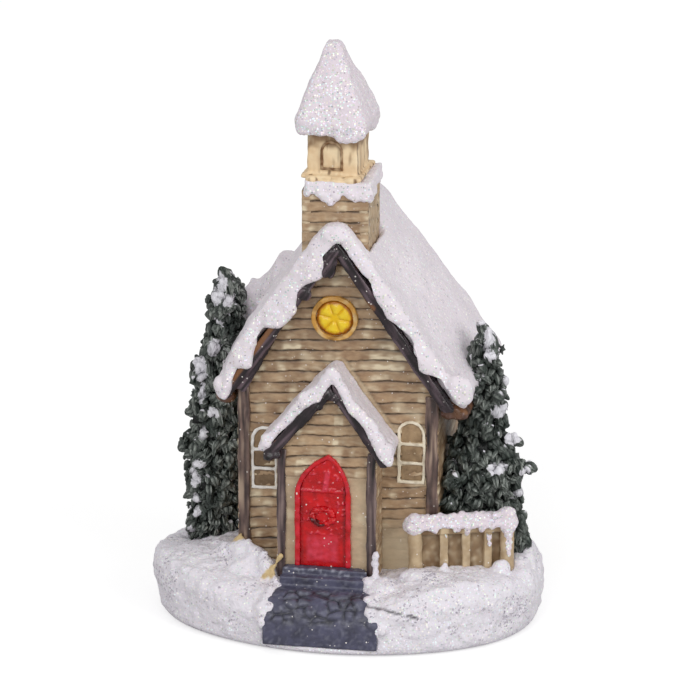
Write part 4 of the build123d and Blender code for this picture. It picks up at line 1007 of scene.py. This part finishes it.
def point_door(piece):
    """Broadens the door a little and pushes its point to the right, as the carver cut it."""
    for vertex in piece.data.vertices:
        place = vertex.co / MM
        aside = place.x - door_middle
        share = max(0.0, 1 - abs(aside) / DOOR_HALF)
        vertex.co.x += (DOOR_LEAN * share * ramp(26.0, 35.0, place.z) + DOOR_SPREAD * aside) * MM
    piece.data.update()


def red_door():
    """The pointed door: a raised border, panels over a rail with a painted shadow under it, and a wreath with
    a dark smudge.
    """
    border = casting("door_frame", skin=0.16)
    sculpt(border, lambda place, facing: (
        facing * (0.1 * uneven(place, 1.6) + 0.07 * uneven(place, 0.6)),
        (max(0.0, 0.5 * uneven(place, 0.9, 8.0)), max(0.0, 0.3 + 0.8 * uneven(place, 1.2, 4.0)) * 0.5, 0.0)))
    point_door(border)
    show(border, DOOR_RED, "red_paint", "door_frame")
    leaf = casting("door_leaf", skin=0.14)

    def touch(place, facing):
        x, z = place.x - door_middle, place.z - door_foot
        if facing.y > -0.4:
            return Vector((0, 0, 0)), (0.3, 0, 0)
        wave = 0.15 * uneven(place, 2.0)
        rail = fall(0.12, 0.4, abs(z - RAIL_HEIGHT + wave))
        stile = fall(0.35, 0.6, abs(x - 0.2)) * ramp(14.6, 15.0, z) * fall(18.2, 19.0, z)
        rim = ramp(3.2, 3.8, abs(x)) * fall(15, 16.5, z)
        panel = fall(2.3, 3.1, abs(x + 0.1)) * ramp(0.6, 1.4, z) * fall(4.6, 7.0, z + 2 * wave)
        bits = max(0.0, uneven(place, 0.55, 6.0) - 0.26) * ramp(4.5, 7.5, z)
        out = 0.2 * max(rail, stile) - 0.1 * rim + 0.08 * panel + 0.8 * bits + 0.05 * uneven(place, 0.7)
        # The wash holds a thin painted shadow just under the rail
        wash = 0.4 * rim + 0.35 * max(0.0, uneven(place, 1.1, 9.0)) + 0.15 * fall(0.3, 0.55, abs(z - 14.1))
        glance = max(0.0, uneven(place, 0.8, 3.0) + 0.3)
        worn = min(0.75, 0.5 * panel * (0.7 + glance) + 0.6 * stile + 0.5 * rail * glance + 1.6 * bits)
        return Vector((0, -out, 0)), (min(1.0, wash), worn, 0)

    sculpt(leaf, touch)
    point_door(leaf)
    show(leaf, DOOR_RED, "red_paint", "door_leaf")
    heart = Vector(middle_of("door_wreath"))

    def twist(place, facing):
        away = place - heart
        angle = math.atan2(away.z, away.x)
        smudge = ramp(0.5, 0.9, math.cos(angle + 2.3) + 0.5 * uneven(place, 0.9))
        move = facing * (0.34 * uneven(place, 0.7) + 0.06 * math.sin(9 * angle) - 0.12)
        return move - Vector((0.0, 0.0, 0.22 * away.z)), (
            1.3 * smudge, max(0.0, 0.6 * uneven(place, 0.7, 3.0)) * (1 - smudge), 0)

    carve_out("door_wreath", 0.13, twist, DOOR_RED, "red_paint")


red_door()


# Stone steps and path
PATH_BEND = 6.0
PATH_LEVEL = 10.5
NOSING_Y = -15.0
path_edge = span("stone_steps", 1)[0]


def path_run(place):
    """How far down the path a place is, measured along its bend over the base's shoulder."""
    bend_y, bend_z = path_edge + PATH_BEND, PATH_LEVEL - PATH_BEND
    if place.y > bend_y:
        return bend_y - place.y
    if place.z < bend_z:
        return PATH_BEND * math.pi / 2 + bend_z - place.z
    return PATH_BEND * math.atan2(bend_y - place.y, place.z - bend_z)


def stone_path():
    """Nosings at the top, worn and dotted with painted glints, round cobbles below them and a smooth lower
    band.
    """
    def touch(place, facing):
        if facing.z < -0.2:
            return Vector((0, 0, 0)), (0, 0, 0)
        run = path_run(place)
        seat = Vector((place.x + 0.5 * uneven(place, 3.0, 4.0), run * 1.15, 3.0))
        nearest = noise.voronoi(seat / 2.5)[0]
        seam = hump(nearest[1] - nearest[0], 0.15)
        cobbled = ramp(0.2, 1.0, run) * fall(7.2, 8.4, run) * ramp(-0.35, 0.0, uneven(place, 3.6, 6.0))
        dome = 0.5 * (1 - seam) * hump(nearest[0], 0.55) - 0.22 * seam
        ripple = 0.12 * uneven(place, 1.6, 2.0) + 0.07 * uneven(place, 0.6, 3.0)
        nosing = fall(0.0, 0.6, abs(place.y - NOSING_Y)) if place.z > 12.0 else 0.0
        # Light specks on the slate, most on the nosings: wear with painted glints
        glint = max(0.0, uneven(place, 0.7, 5.0) - 0.1)
        worn = min(0.8, glint * (0.6 + 1.2 * nosing) + 0.12 * cobbled * (1 - seam))
        return facing * (cobbled * dome + ripple), (min(1.0, 0.85 * cobbled * seam), worn, 0)

    carve_out("stone_steps", 0.26, touch, SLATE, "slate_paint")


stone_path()


# Snowy base, with heaps as (place, half sizes)
HEAPS = (
    (-21.5, -7.0, 12.2, 3.0, 2.6, 1.9), (-18.2, -8.6, 12.8, 2.7, 2.2, 2.7),
    (-15.6, -10.3, 12.6, 2.6, 2.1, 2.3), (-12.7, -13.0, 12.0, 2.0, 1.9, 2.2),
    (15.6, -12.6, 11.6, 4.6, 2.4, 1.9), (29.6, -7.0, 12.2, 1.6, 1.3, 2.0),
    (19.8, -10.2, 12.7, 1.0, 0.9, 2.1), (9.6, -15.6, 10.9, 3.4, 2.8, 1.6),
    (24.5, -10.0, 11.3, 5.4, 2.6, 1.6),
)

# Lumps along the path, and the crest of the left bank
FRINGE = (
    (6.3, -15.6, 11.8), (7.4, -17.4, 10.4), (8.8, -17.8, 10.3), (6.9, -19.8, 9.7), (8.6, -19.8, 9.6),
    (7.7, -21.1, 9.0), (9.2, -21.1, 8.8), (7.8, -22.0, 8.2), (9.3, -21.9, 8.0), (8.5, -22.7, 6.9),
    (10.0, -22.6, 6.8), (9.4, -23.1, 5.2), (-10.9, -22.0, 8.1), (-11.7, -21.3, 8.7), (-12.0, -22.5, 7.1),
    (-12.6, -21.8, 8.0), (-10.9, -15.8, 10.9),
)
CREST = (
    (-29.5, 0.6, 11.8), (-25.1, -2.6, 12.6), (-21.4, -7.2, 14.0), (-18.1, -8.8, 15.0), (-15.6, -10.4, 14.4),
    (-12.6, -13.2, 13.6),
)

# Hollows and rises as (x, y, half width, half depth, height), and a crack as (x, z)
HOLLOWS = ((-31.0, 2.0, 6.0, 6.0, -1.5), (33.0, 2.0, 3.5, 7.0, 1.2))
CRACK = ((5.6, 9.7), (9.6, 9.4), (10.6, 9.6), (12.5, 9.0), (14.7, 8.5), (16.6, 7.8))

# Wisps of straw as (place, half length, lean)
STRAWS = (
    (-12.7, -14.9, 11.7, 1.3, 0.6), (-11.9, -14.7, 12.6, 1.5, 0.62), (-11.1, -14.5, 13.6, 1.5, 0.6),
    (-10.4, -14.3, 14.7, 1.4, 0.55), (-11.6, -15.0, 11.8, 1.2, 0.4), (-19.3, -7.9, 15.4, 1.3, 0.1),
    (-18.7, -7.9, 15.8, 1.2, -0.2), (-19.9, -7.6, 15.0, 1.2, 0.4),
)

# Heights of the snow on the porch's right post, and measures of the crest, the straw, the path and the bore
POST_SNOW = (12.2, 13.4, 14.8, 16.4)
CREST_LUMPS = 7
STRAW_SIZE = (0.42, 0.38)
PATH_TOP = -13.0
PATH_FOOT = -24.0
BORE_REACH = 17.8
MODULE_Y = 0.9


def path_half(y):
    """Half the width of the path, which spreads towards its foot."""
    return 7.3 + 3.3 * ramp(PATH_TOP, PATH_FOOT, y)


def path_middle(y):
    """The middle of the path, which leans to the right."""
    return -2.0 + 0.9 * ramp(PATH_TOP, PATH_FOOT, y)


def painted_crack_shade(place):
    """Painted shade in a crack in the snow right of the path."""
    if place.y > -14 or place.x < 5:
        return 0.0
    here = Vector((place.x, place.z))
    gap = 9.0
    for start, end in zip(CRACK, CRACK[1:]):
        start, end = Vector(start), Vector(end)
        share = min(1.0, max(0.0, (here - start).dot(end - start) / (end - start).length_squared))
        gap = min(gap, (here - start - (end - start) * share).length)
    thick = 0.02 + 0.26 * uneven(place, 1.8, 8.0)
    return 0.9 * fall(0.0, 0.26, gap - thick)


def snow_ground():
    """The base's rough snow, banked against the house, the fence and the trees and ragged along the path."""
    random.seed(53)
    piece = casting("snow_base", skin=0.5)
    balls = [paste_ball((7.5, -14.2, z), (0.75, 0.7, 1.1)) for z in POST_SNOW]
    balls += [paste_ball(heap[:3], heap[3:]) for heap in HEAPS]
    balls += [paste_ball(place, [random.uniform(0.95, 1.25) for axis in range(3)]) for place in FRINGE]
    balls += [paste_ball((x, y, z), (*STRAW_SIZE, tall), (0.0, lean, 0.0)) for x, y, z, tall, lean in STRAWS]
    for start, end in zip(CREST, CREST[1:]):
        for _ in range(CREST_LUMPS):
            place = Vector(start).lerp(Vector(end), random.random())
            place += Vector([random.uniform(-0.6, 0.6) for axis in range(3)])
            balls.append(paste_ball(place, [random.uniform(0.5, 1.0)] * 3))
    for side in (-1, 1):
        y = -14.0
        while y > -23.6:
            x = path_middle(y) + side * (path_half(y) + 0.3 + 0.7 * random.random())
            drop = 10.2 - max(0.0, -17.5 - y) ** 2 * 0.14
            size = 0.8 + 0.7 * random.random()
            balls.append(paste_ball((x, y, drop), (size, 0.8 + 0.5 * random.random(), 1.1)))
            y -= 0.8 + 0.7 * random.random()
    knead(piece, balls, skin=0.39, smoothing=3)

    def touch(place, facing):
        away = math.hypot(place.x, place.y - MODULE_Y)
        indoors = house_x[0] < place.x < house_x[1] and house_y[0] < place.y < house_y[1]
        foot = fall(0.5, 8.5, place.z) * ramp(20.0, 34.0, abs(place.x))
        tuck = Vector((-math.copysign(1.1, place.x) * foot, 0, 0))
        if place.z < 0.4 or (away < BORE_REACH and place.z < 9.6) or indoors:
            return tuck, (0, 0, 0)
        free = ramp(0.4, 2.6, place.z)
        side = abs(place.x - path_middle(place.y)) - path_half(place.y)
        open_ground = 1 - fall(-0.4, 0.9, side) * ramp(-12.4, -13.4, place.y)
        bank = 0.0
        for x, y, wide, deep, tall in HOLLOWS:
            bank += tall * math.exp(-(((place.x - x) / wide) ** 2) - ((place.y - y) / deep) ** 2)
        lumps = 0.5 * uneven(place, 6.0, 1.0) + 0.4 * uneven(place, 2.1, 2.0)
        lumps += 0.24 * uneven(place, 0.85, 3.0)
        crack_shade = painted_crack_shade(place)
        straw = 0.0
        for x, y, z, tall, lean in STRAWS:
            apart = Vector((place.x - x - lean * (place.z - z), place.y - y, (place.z - z) * 0.55 / tall))
            straw = max(straw, fall(0.55, 0.75, apart.length))
        rise = Vector((0, 0, bank * open_ground * ramp(6.0, 10.0, place.z)))
        rough = lumps * free * (0.3 + 0.7 * open_ground) - 0.2 * crack_shade
        return facing * rough + rise + tuck, (crack_shade, 0.7, straw)

    sculpt(piece, touch)
    show(piece, GROUND_SNOW, "glitter_snow", "snow_base")


snow_ground()


# Fence, with its pickets' places along it
FENCE_START = Vector((14.2, -10.0, 0.0))
FENCE_ANGLE = math.radians(17.0)
FENCE_WAY = Vector((math.cos(FENCE_ANGLE), math.sin(FENCE_ANGLE), 0.0))
FENCE_LENGTH = 17.0
PICKETS = (5.3, 9.4, 13.4)

# The rail's snow: drips as (along, half width), lumps, hanging ends, the post's as (drop, half width), spots
FENCE_DRIPS = ((3.4, 0.4), (5.6, 0.3), (7.0, 1.0), (9.3, 0.5), (12.6, 0.3), (13.5, 0.4))
RAIL_LUMPS = 30
RAIL_START = 1.2
RAIL_STEP = 0.52
HANGING = (3.6, 7.3, 7.9, 9.6, 12.4)
POST_RUN = ((0.4, 1.1), (1.6, 0.9), (2.8, 0.8), (4.0, 0.6), (5.2, 0.5))
PICKET_SPOTS = ((13.5, 18.6), (13.6, 17.4), (5.5, 19.4), (9.4, 19.9))


def fence_run(place):
    """How far along the fence a place is."""
    return (place - FENCE_START).dot(FENCE_WAY)


def fence_at(along, *offset):
    """A place on the fence, moved by an offset."""
    return FENCE_START + FENCE_WAY * along + Vector(offset)


def cream_fence():
    """Turned posts and flat pickets over a brown panel, under a rail of snow."""
    for node, seed, brown in (("fence_posts", 1.0, 0.0), ("fence_pickets", 2.0, 0.0),
                              ("fence_rail", 3.0, 0.75), ("fence_panel", 4.0, 0.75)):
        piece = casting(node, skin=0.22)
        shape_with(piece, "SMOOTH", factor=0.5, iterations=2)

        def touch(place, facing):
            wash = brown + 0.4 * uneven(place, 1.8, seed + 3)
            if node == "fence_rail":
                wash *= ramp(0.6, 0.9, min(abs(fence_run(place) - along) for along in PICKETS))
            return facing * (0.14 * uneven(place, 2.0, seed) + 0.05 * uneven(place, 0.7, seed)), (
                min(1.0, max(0.0, wash)), max(0.0, 0.4 * uneven(place, 1.0, seed)), 0)

        sculpt(piece, touch)
        show(piece, FENCE_CREAM, "cream_paint", node)
    random.seed(61)
    snow = casting("fence_snow", skin=0.32)
    balls = []
    for step in range(RAIL_LUMPS):
        along = RAIL_START + step * RAIL_STEP
        place = fence_at(along, 0.2, random.uniform(-0.9, 0.2), 22.6)
        place.z += random.uniform(-0.5, 0.5)
        balls.append(paste_ball(place, [random.uniform(0.5, 0.95)] * 3))
        place = fence_at(along, 0.2, random.uniform(-1.3, -1.0), 21.5 + random.uniform(-0.4, 0.3))
        balls.append(paste_ball(place, [random.uniform(0.45, 0.75)] * 3))
    balls += [paste_ball(fence_at(along, 0.2, -1.1, 20.6), (0.6, 0.5, 0.8)) for along in HANGING]
    balls.append(paste_ball(fence_at(0.0, -0.2, -0.5, 21.4), (1.8, 1.6, 1.7)))
    balls.append(paste_ball(fence_at(FENCE_LENGTH, 0.1, -0.3, 22.8), (1.7, 1.5, 1.6)))
    for drop, size in POST_RUN:
        balls.append(paste_ball(fence_at(FENCE_LENGTH, 0.5, -1.05, 20.6 - drop), (size, 0.5, 0.9)))
    balls += [paste_ball(fence_at(along, 0.2, -0.8, z), (0.55, 0.4, 0.7)) for along, z in PICKET_SPOTS]
    knead(snow, balls, skin=0.26, smoothing=2)

    def hem(place, facing):
        move, masks = snow_touch(31.0, 0.3, 0.34)(place, facing)
        along = fence_run(place)
        edge = 19.9 + 0.5 * noise.noise(Vector((along / 1.1, 5.0, 0.0)))
        edge -= sum(0.9 * hump(along - drip, wide) for drip, wide in FENCE_DRIPS)
        free = ramp(1.4, 2.2, along) * fall(15.0, 15.8, along) * ramp(18.5, 18.9, place.z)
        return move + Vector((0.0, 0.0, free * max(0.0, edge - place.z))), masks

    sculpt(snow, hem)
    show(snow, SPIRE_SNOW, "glitter_snow", "fence_snow")


cream_fence()


# Conifers and bush: dabs of snow as (x, z, half width, half height)
LEFT_DABS = (
    (-24.6, 60.4, 0.8, 2.0), (-25.6, 58.0, 1.1, 1.3), (-23.2, 57.7, 0.9, 0.9), (-24.9, 53.5, 0.9, 0.7),
    (-25.9, 48.7, 1.3, 1.3), (-28.4, 44.3, 1.5, 1.7), (-28.0, 40.0, 0.7, 1.5), (-25.6, 36.6, 1.1, 0.7),
    (-27.7, 32.1, 0.7, 0.9), (-28.5, 26.3, 1.3, 0.7), (-29.5, 23.0, 0.9, 1.5), (-29.1, 18.9, 0.7, 1.1),
    (-29.3, 15.7, 0.7, 0.9), (-30.3, 12.8, 0.7, 0.6),
)
RIGHT_DABS = (
    (25.8, 54.4, 0.7, 3.3), (26.6, 51.2, 0.7, 0.7), (28.9, 45.9, 0.7, 1.5), (28.0, 40.5, 1.3, 0.9),
    (30.3, 35.2, 1.2, 1.0), (28.2, 30.5, 1.5, 0.9), (33.3, 30.1, 0.8, 0.6), (31.4, 24.1, 0.9, 0.8),
    (24.3, 57.2, 0.7, 0.6),
)

GROUND = 11.0
ROW_RISE = 1.15
SPRAY_PITCH = 1.3
TIP_SPRAYS = 6

bpy.ops.object.select_all(action="DESELECT")
bpy.ops.mesh.primitive_uv_sphere_add(segments=10, ring_count=7, radius=1.0, rotation=(math.pi / 2, 0.0, 0.0))
needle_spray = bpy.context.active_object
bpy.ops.object.transform_apply(rotation=True)


def comb(place, facing):
    """Draws a ball out to a drooping spray of needles, with ridges along it and a toothed end."""
    across, along, up = place.x * MM, place.y * MM, place.z * MM
    girth = max(0.05, math.hypot(across, up))
    ridge = math.cos(5 * math.atan2(across, up))
    share = (along + 1) / 2
    reach = share * (0.84 + 0.16 * ridge * share)
    wide = 0.38 * (0.55 + 0.7 * math.sin(math.pi * min(1.0, share * 0.75 + 0.1))) * (1 + 0.24 * ridge)
    thick = 0.26 * up * (1 + 0.45 * ridge)
    shaped = Vector((across * wide, reach, thick - 0.3 * reach**2))
    # Pale on the ridges' upper half: dry brushing with a painted highlight from above
    worn = ramp(0.0, 0.9, ridge) * ramp(-0.1, 0.5, up / girth) * ramp(0.15, 0.6, share)
    # Red paints shade in the grooves and at the root, under the neighbouring sprays
    return shaped / MM - place, (0.68 * max(0.0, -ridge) + 0.36 * (1 - share), worn, 0.0)


sculpt(needle_spray, comb)
spray_mesh = needle_spray.data
bpy.data.objects.remove(needle_spray)


def spray(place, turn, droop, roll, size):
    """One copy of the needle spray: size is its length and width in millimetres."""
    mesh = spray_mesh.copy()
    stance = Euler((-droop, roll, 0.0)).to_matrix().to_4x4()
    scale = Matrix.Diagonal((size[1] * MM, size[0] * MM, size[1] * MM, 1.0))
    heading = Matrix.Rotation(turn - math.pi / 2, 4, "Z")
    mesh.transform(Matrix.Translation(Vector(place) * MM) @ heading @ stance @ scale)
    twig = bpy.data.objects.new("spray", mesh)
    bpy.context.scene.collection.objects.link(twig)
    return twig


def foliage(piece, sprays, dabs, seed, middle, ridge_lightening):
    """Joins sprays to a tree, lightens the ridges on its left by one share and on its right by another, and
    dabs snow on it.
    """
    join(piece, sprays)
    masks = iter([tuple(entry.color)[:3] for entry in piece.data.attributes["paint"].data])

    def touch(place, facing):
        wash, worn, snow = next(masks)
        patchy = ramp(-0.6, 0.3, uneven(place, 3.4, seed))
        patchy *= ridge_lightening[0] + (ridge_lightening[1] - ridge_lightening[0]) * ramp(-1.5, 1.5, place.x - middle(place.z))
        x = place.x if facing.y < 0.3 else 2 * middle(place.z) - place.x
        for dab_x, dab_z, wide, tall in dabs:
            away = math.hypot((x - dab_x) / (wide * 1.2), (place.z - dab_z) / (tall * 1.2))
            snow = max(snow, fall(0.85, 0.95, away + 0.4 * uneven(place, 1.2, seed + 9)))
        snow = max(snow, ramp(0.46, 0.5, uneven(place, 1.0, seed + 4)) * ramp(0.3, 0.7, facing.z))
        move = facing * (0.3 * uneven(place, 0.8, seed + 2) + 0.2 * snow)
        return move, (min(1.0, wash), min(1.0, worn * patchy), snow)

    sculpt(piece, touch)


def conifer(node, foot_x, foot_y, height, radius, lean, skirts, slim, ridge_lightening, dabs, boughs, seed):
    """A conifer of hanging needle sprays round its tiered body, with dabs of snow.
    Skirts are shares of its height and radius, and slim is the share taken off above a height."""
    random.seed(seed)
    slant = math.tan(math.radians(lean))
    outline = [(0.0, skirts[0][1])]
    for (low, wide), (high, next_wide) in zip(skirts, skirts[1:]):
        outline += [(low + 0.3 * (high - low), wide), (high - 0.001, min(wide, next_wide) - 1.0 / radius),
                    (high, next_wide)]
    low, wide = skirts[-1]
    outline += [(low + 0.3 * (1 - low), wide), (1.0, 1.2 / radius)]

    def trunk(z):
        return Vector((foot_x + slant * (z - GROUND), foot_y, z))

    def shrink(place, facing):
        inward = (trunk(place.z) - place) * (slim[0] * ramp(slim[1], slim[1] + 4.0, place.z))
        # The core is painted fully dark, as the shade inside the tree
        return facing * (-1.4 + 0.3 * uneven(place, 1.5, seed)) + inward, (1.0, 0.0, 0.0)

    piece = casting(node, skin=0.5)
    sculpt(piece, shrink)
    sprays = []
    rows = round(height / ROW_RISE)
    for row in range(rows):
        share = (row + 0.4) / rows
        reach = follow(outline, share) * radius
        count = max(6, round(2 * math.pi * reach / SPRAY_PITCH))
        for number in range(count):
            angle = 2 * math.pi * (number + 0.5 * (row % 2) + random.uniform(-0.35, 0.35)) / count
            long = random.uniform(1.5, 3.1) * (0.75 + 0.25 * min(1.0, reach / 4.5))
            droop = math.radians(random.uniform(15, 75) + 8 * share)
            out = reach + 0.4 - long * math.cos(droop) + random.uniform(-0.5, 0.4)
            level = GROUND + height * share + long * math.sin(droop) * 0.75 + random.uniform(-0.6, 0.6)
            level = min(level, GROUND + height - 1.2)
            place = trunk(level) + Vector((math.cos(angle), math.sin(angle), 0)) * out
            turn = angle + random.uniform(-1.0, 1.0)
            roll = random.uniform(-1.2, 1.2)
            sprays.append(spray(place, turn, droop, roll, (long, random.uniform(1.1, 2.4))))
    for x, z, wide, tall in dabs:
        aside = x - trunk(z).x
        deep = math.sqrt(max(0.3, (follow(outline, (z - GROUND) / height) * radius) ** 2 - aside**2))
        sprays.append(paste_ball((x, foot_y - deep + 0.3, z), (0.55 * wide, 0.5, 0.55 * tall)))
    for start, end, count in boughs:
        start, end = Vector(start), Vector(end)
        heading = math.atan2(end.y - start.y, end.x - start.x)
        for _ in range(count):
            place = start.lerp(end, random.random())
            place += Vector([random.uniform(-0.5, 0.5) for axis in range(3)])
            turn = heading + random.uniform(-0.8, 0.8)
            droop = math.radians(random.uniform(20, 60))
            roll = random.uniform(-1.2, 1.2)
            size = (random.uniform(1.6, 2.8), random.uniform(1.2, 2.4))
            sprays.append(spray(place, turn, droop, roll, size))
    for number in range(TIP_SPRAYS):
        sprays.append(spray(trunk(GROUND + height + 0.4), 1.05 * number, math.radians(76), 0.0, (6.0, 4.0)))
    sprays.append(spray(trunk(GROUND + height - 1.0), 2.8, math.radians(-80), 0.0, (2.6, 3.0)))
    foliage(piece, sprays, dabs, seed, lambda z: trunk(z).x, ridge_lightening)
    show(piece, CONIFER, "conifer_paint", node)


LEFT_SKIRTS = ((0.0, 0.82), (0.14, 0.88), (0.3, 1.03), (0.45, 0.9), (0.6, 0.92), (0.71, 0.6), (0.84, 0.54))
RIGHT_SKIRTS = ((0.0, 0.92), (0.16, 0.97), (0.34, 1.0), (0.47, 0.78), (0.56, 0.55), (0.7, 0.5), (0.84, 0.38))

# Boughs that reach past the right tree's skirts, as (start, end, sprays)
RIGHT_BOUGHS = (
    ((29.6, 0.5, 31.6), (33.0, 0.0, 30.8), 34), ((20.6, -2.6, 16.0), (19.6, -4.0, 16.0), 10),
    ((20.6, -2.6, 20.0), (19.4, -4.2, 20.0), 12), ((20.6, -2.6, 24.5), (19.4, -4.2, 24.5), 12),
    ((20.6, -2.6, 29.0), (19.6, -4.0, 29.0), 12),
)
conifer("tree_left", foot_x=-26.7, foot_y=7.0, height=50.8, radius=6.1, lean=3.2, skirts=LEFT_SKIRTS,
        slim=(0.12, 8.0), ridge_lightening=(1.1, 2.4), dabs=LEFT_DABS, boughs=(), seed=71)
conifer("tree_right", foot_x=24.0, foot_y=2.8, height=44.4, radius=7.3, lean=1.4, skirts=RIGHT_SKIRTS,
        slim=(0.34, 32.0), ridge_lightening=(1.0, 1.0), dabs=RIGHT_DABS, boughs=RIGHT_BOUGHS, seed=83)

BUSH_SPRAYS = 80
BUSH_REACH = 2.5


def low_bush():
    """The dark shrub behind the end of the fence."""
    random.seed(97)
    piece = casting("bush_right", skin=0.3)
    # The bush's shrunken core is painted dark, as the shade inside it
    sculpt(piece, lambda place, facing: (facing * -0.3, (0.7, 0.0, 0.0)))
    low, high = span("bush_right", 2)
    middle = Vector((*middle_of("bush_right")[:2], 0))
    sprays = []
    for number in range(BUSH_SPRAYS):
        share = number / BUSH_SPRAYS
        angle = 2.4 * number
        reach = BUSH_REACH * (1 - 0.5 * share)
        place = middle + Vector((math.cos(angle), math.sin(angle), 0)) * (reach - 1.4)
        place += Vector((0, 0, low + 2.6 + (high - low - 1.6) * share))
        droop = math.radians(random.uniform(25, 70))
        sprays.append(spray(place, angle, droop, random.uniform(-1.0, 1.0), (2.3, 2.2)))
    foliage(piece, sprays, (), 97, lambda z: middle.x, (1.0, 1.0))
    show(piece, CONIFER, "conifer_paint", "bush_right")


low_bush()


# The light module keeps its CAD shapes
for node, material in (
    ("module_housing", MODULE_PLASTIC), ("battery_cover", MODULE_PLASTIC), ("switch_body", MODULE_PLASTIC),
    ("switch_slider", SLIDER_PLASTIC), ("circuit_board", LAMINATE), ("led", LAMP_RESIN),
    ("coin_cell", CELL_STEEL), ("contact_spring", CONTACT_BRASS), ("contact_clip", CONTACT_BRASS),
):
    part = frame["nodes"][node]
    part.data.materials.clear()
    part.data.materials.append(material)


# Studio: a pale floor that keeps the shadow, white to the camera, and soft light from the front and the right
FLOOR_SIZE = 6.0
FLOOR_DROP = 0.02
FLOOR_GREY = (0.62, 0.62, 0.62, 1.0)
FLOOR_GLOW = 0.56
WHITE = (1.0, 1.0, 1.0, 1.0)
SKY_LIGHT = 0.61
SOFTBOX_SIZE = 0.6
LIT_PLACE = Vector((0.0, 0.0, 0.05))


def studio_floor():
    """The floor's paper, which lets a view from below through."""
    bpy.ops.object.select_all(action="DESELECT")
    bpy.ops.mesh.primitive_plane_add(size=FLOOR_SIZE, location=(0.0, 0.0, -FLOOR_DROP * MM))
    floor = bpy.context.active_object
    floor.name = "studio_floor"
    paper = Shader(bpy.data.materials.new("studio_floor_paper"))
    glow = paper.maths("MULTIPLY", paper.add("ShaderNodeLightPath")["Is Camera Ray"], FLOOR_GLOW)
    matt = paper.add("ShaderNodeBsdfDiffuse", {"Color": FLOOR_GREY})[0]
    lit = paper.add("ShaderNodeEmission", {"Color": WHITE, "Strength": glow})[0]
    above = paper.add("ShaderNodeAddShader", {0: matt, 1: lit})[0]
    below = paper.add("ShaderNodeNewGeometry")["Backfacing"]
    clear = paper.add("ShaderNodeBsdfTransparent")[0]
    sheet = paper.add("ShaderNodeMixShader", {0: below, 1: above, 2: clear})[0]
    paper.add("ShaderNodeOutputMaterial", {"Surface": sheet})
    floor.data.materials.append(paper.owner)


studio_floor()

bpy.context.scene.world = bpy.data.worlds.new("studio_world")
sky = Shader(bpy.context.scene.world)
bright = sky.remap(sky.add("ShaderNodeLightPath")["Is Camera Ray"], SKY_LIGHT, 1.0)
backdrop = sky.add("ShaderNodeBackground", {"Color": WHITE, "Strength": bright})[0]
sky.add("ShaderNodeOutputWorld", {"Surface": backdrop})


def softbox(name, place, power):
    """A square soft light that looks at the house."""
    data = bpy.data.lights.new(name, "AREA")
    data.size = SOFTBOX_SIZE
    data.energy = power
    lamp = bpy.data.objects.new(name, data)
    bpy.context.scene.collection.objects.link(lamp)
    lamp.location = place
    lamp.rotation_euler = (LIT_PLACE - Vector(place)).to_track_quat("-Z", "Y").to_euler()


softbox("key_softbox", place=(-0.15, -1.0, 0.7), power=3.85)
softbox("fill_softbox", place=(0.85, -0.55, 0.5), power=3.6)

bpy.context.scene.view_settings.view_transform = "Standard"
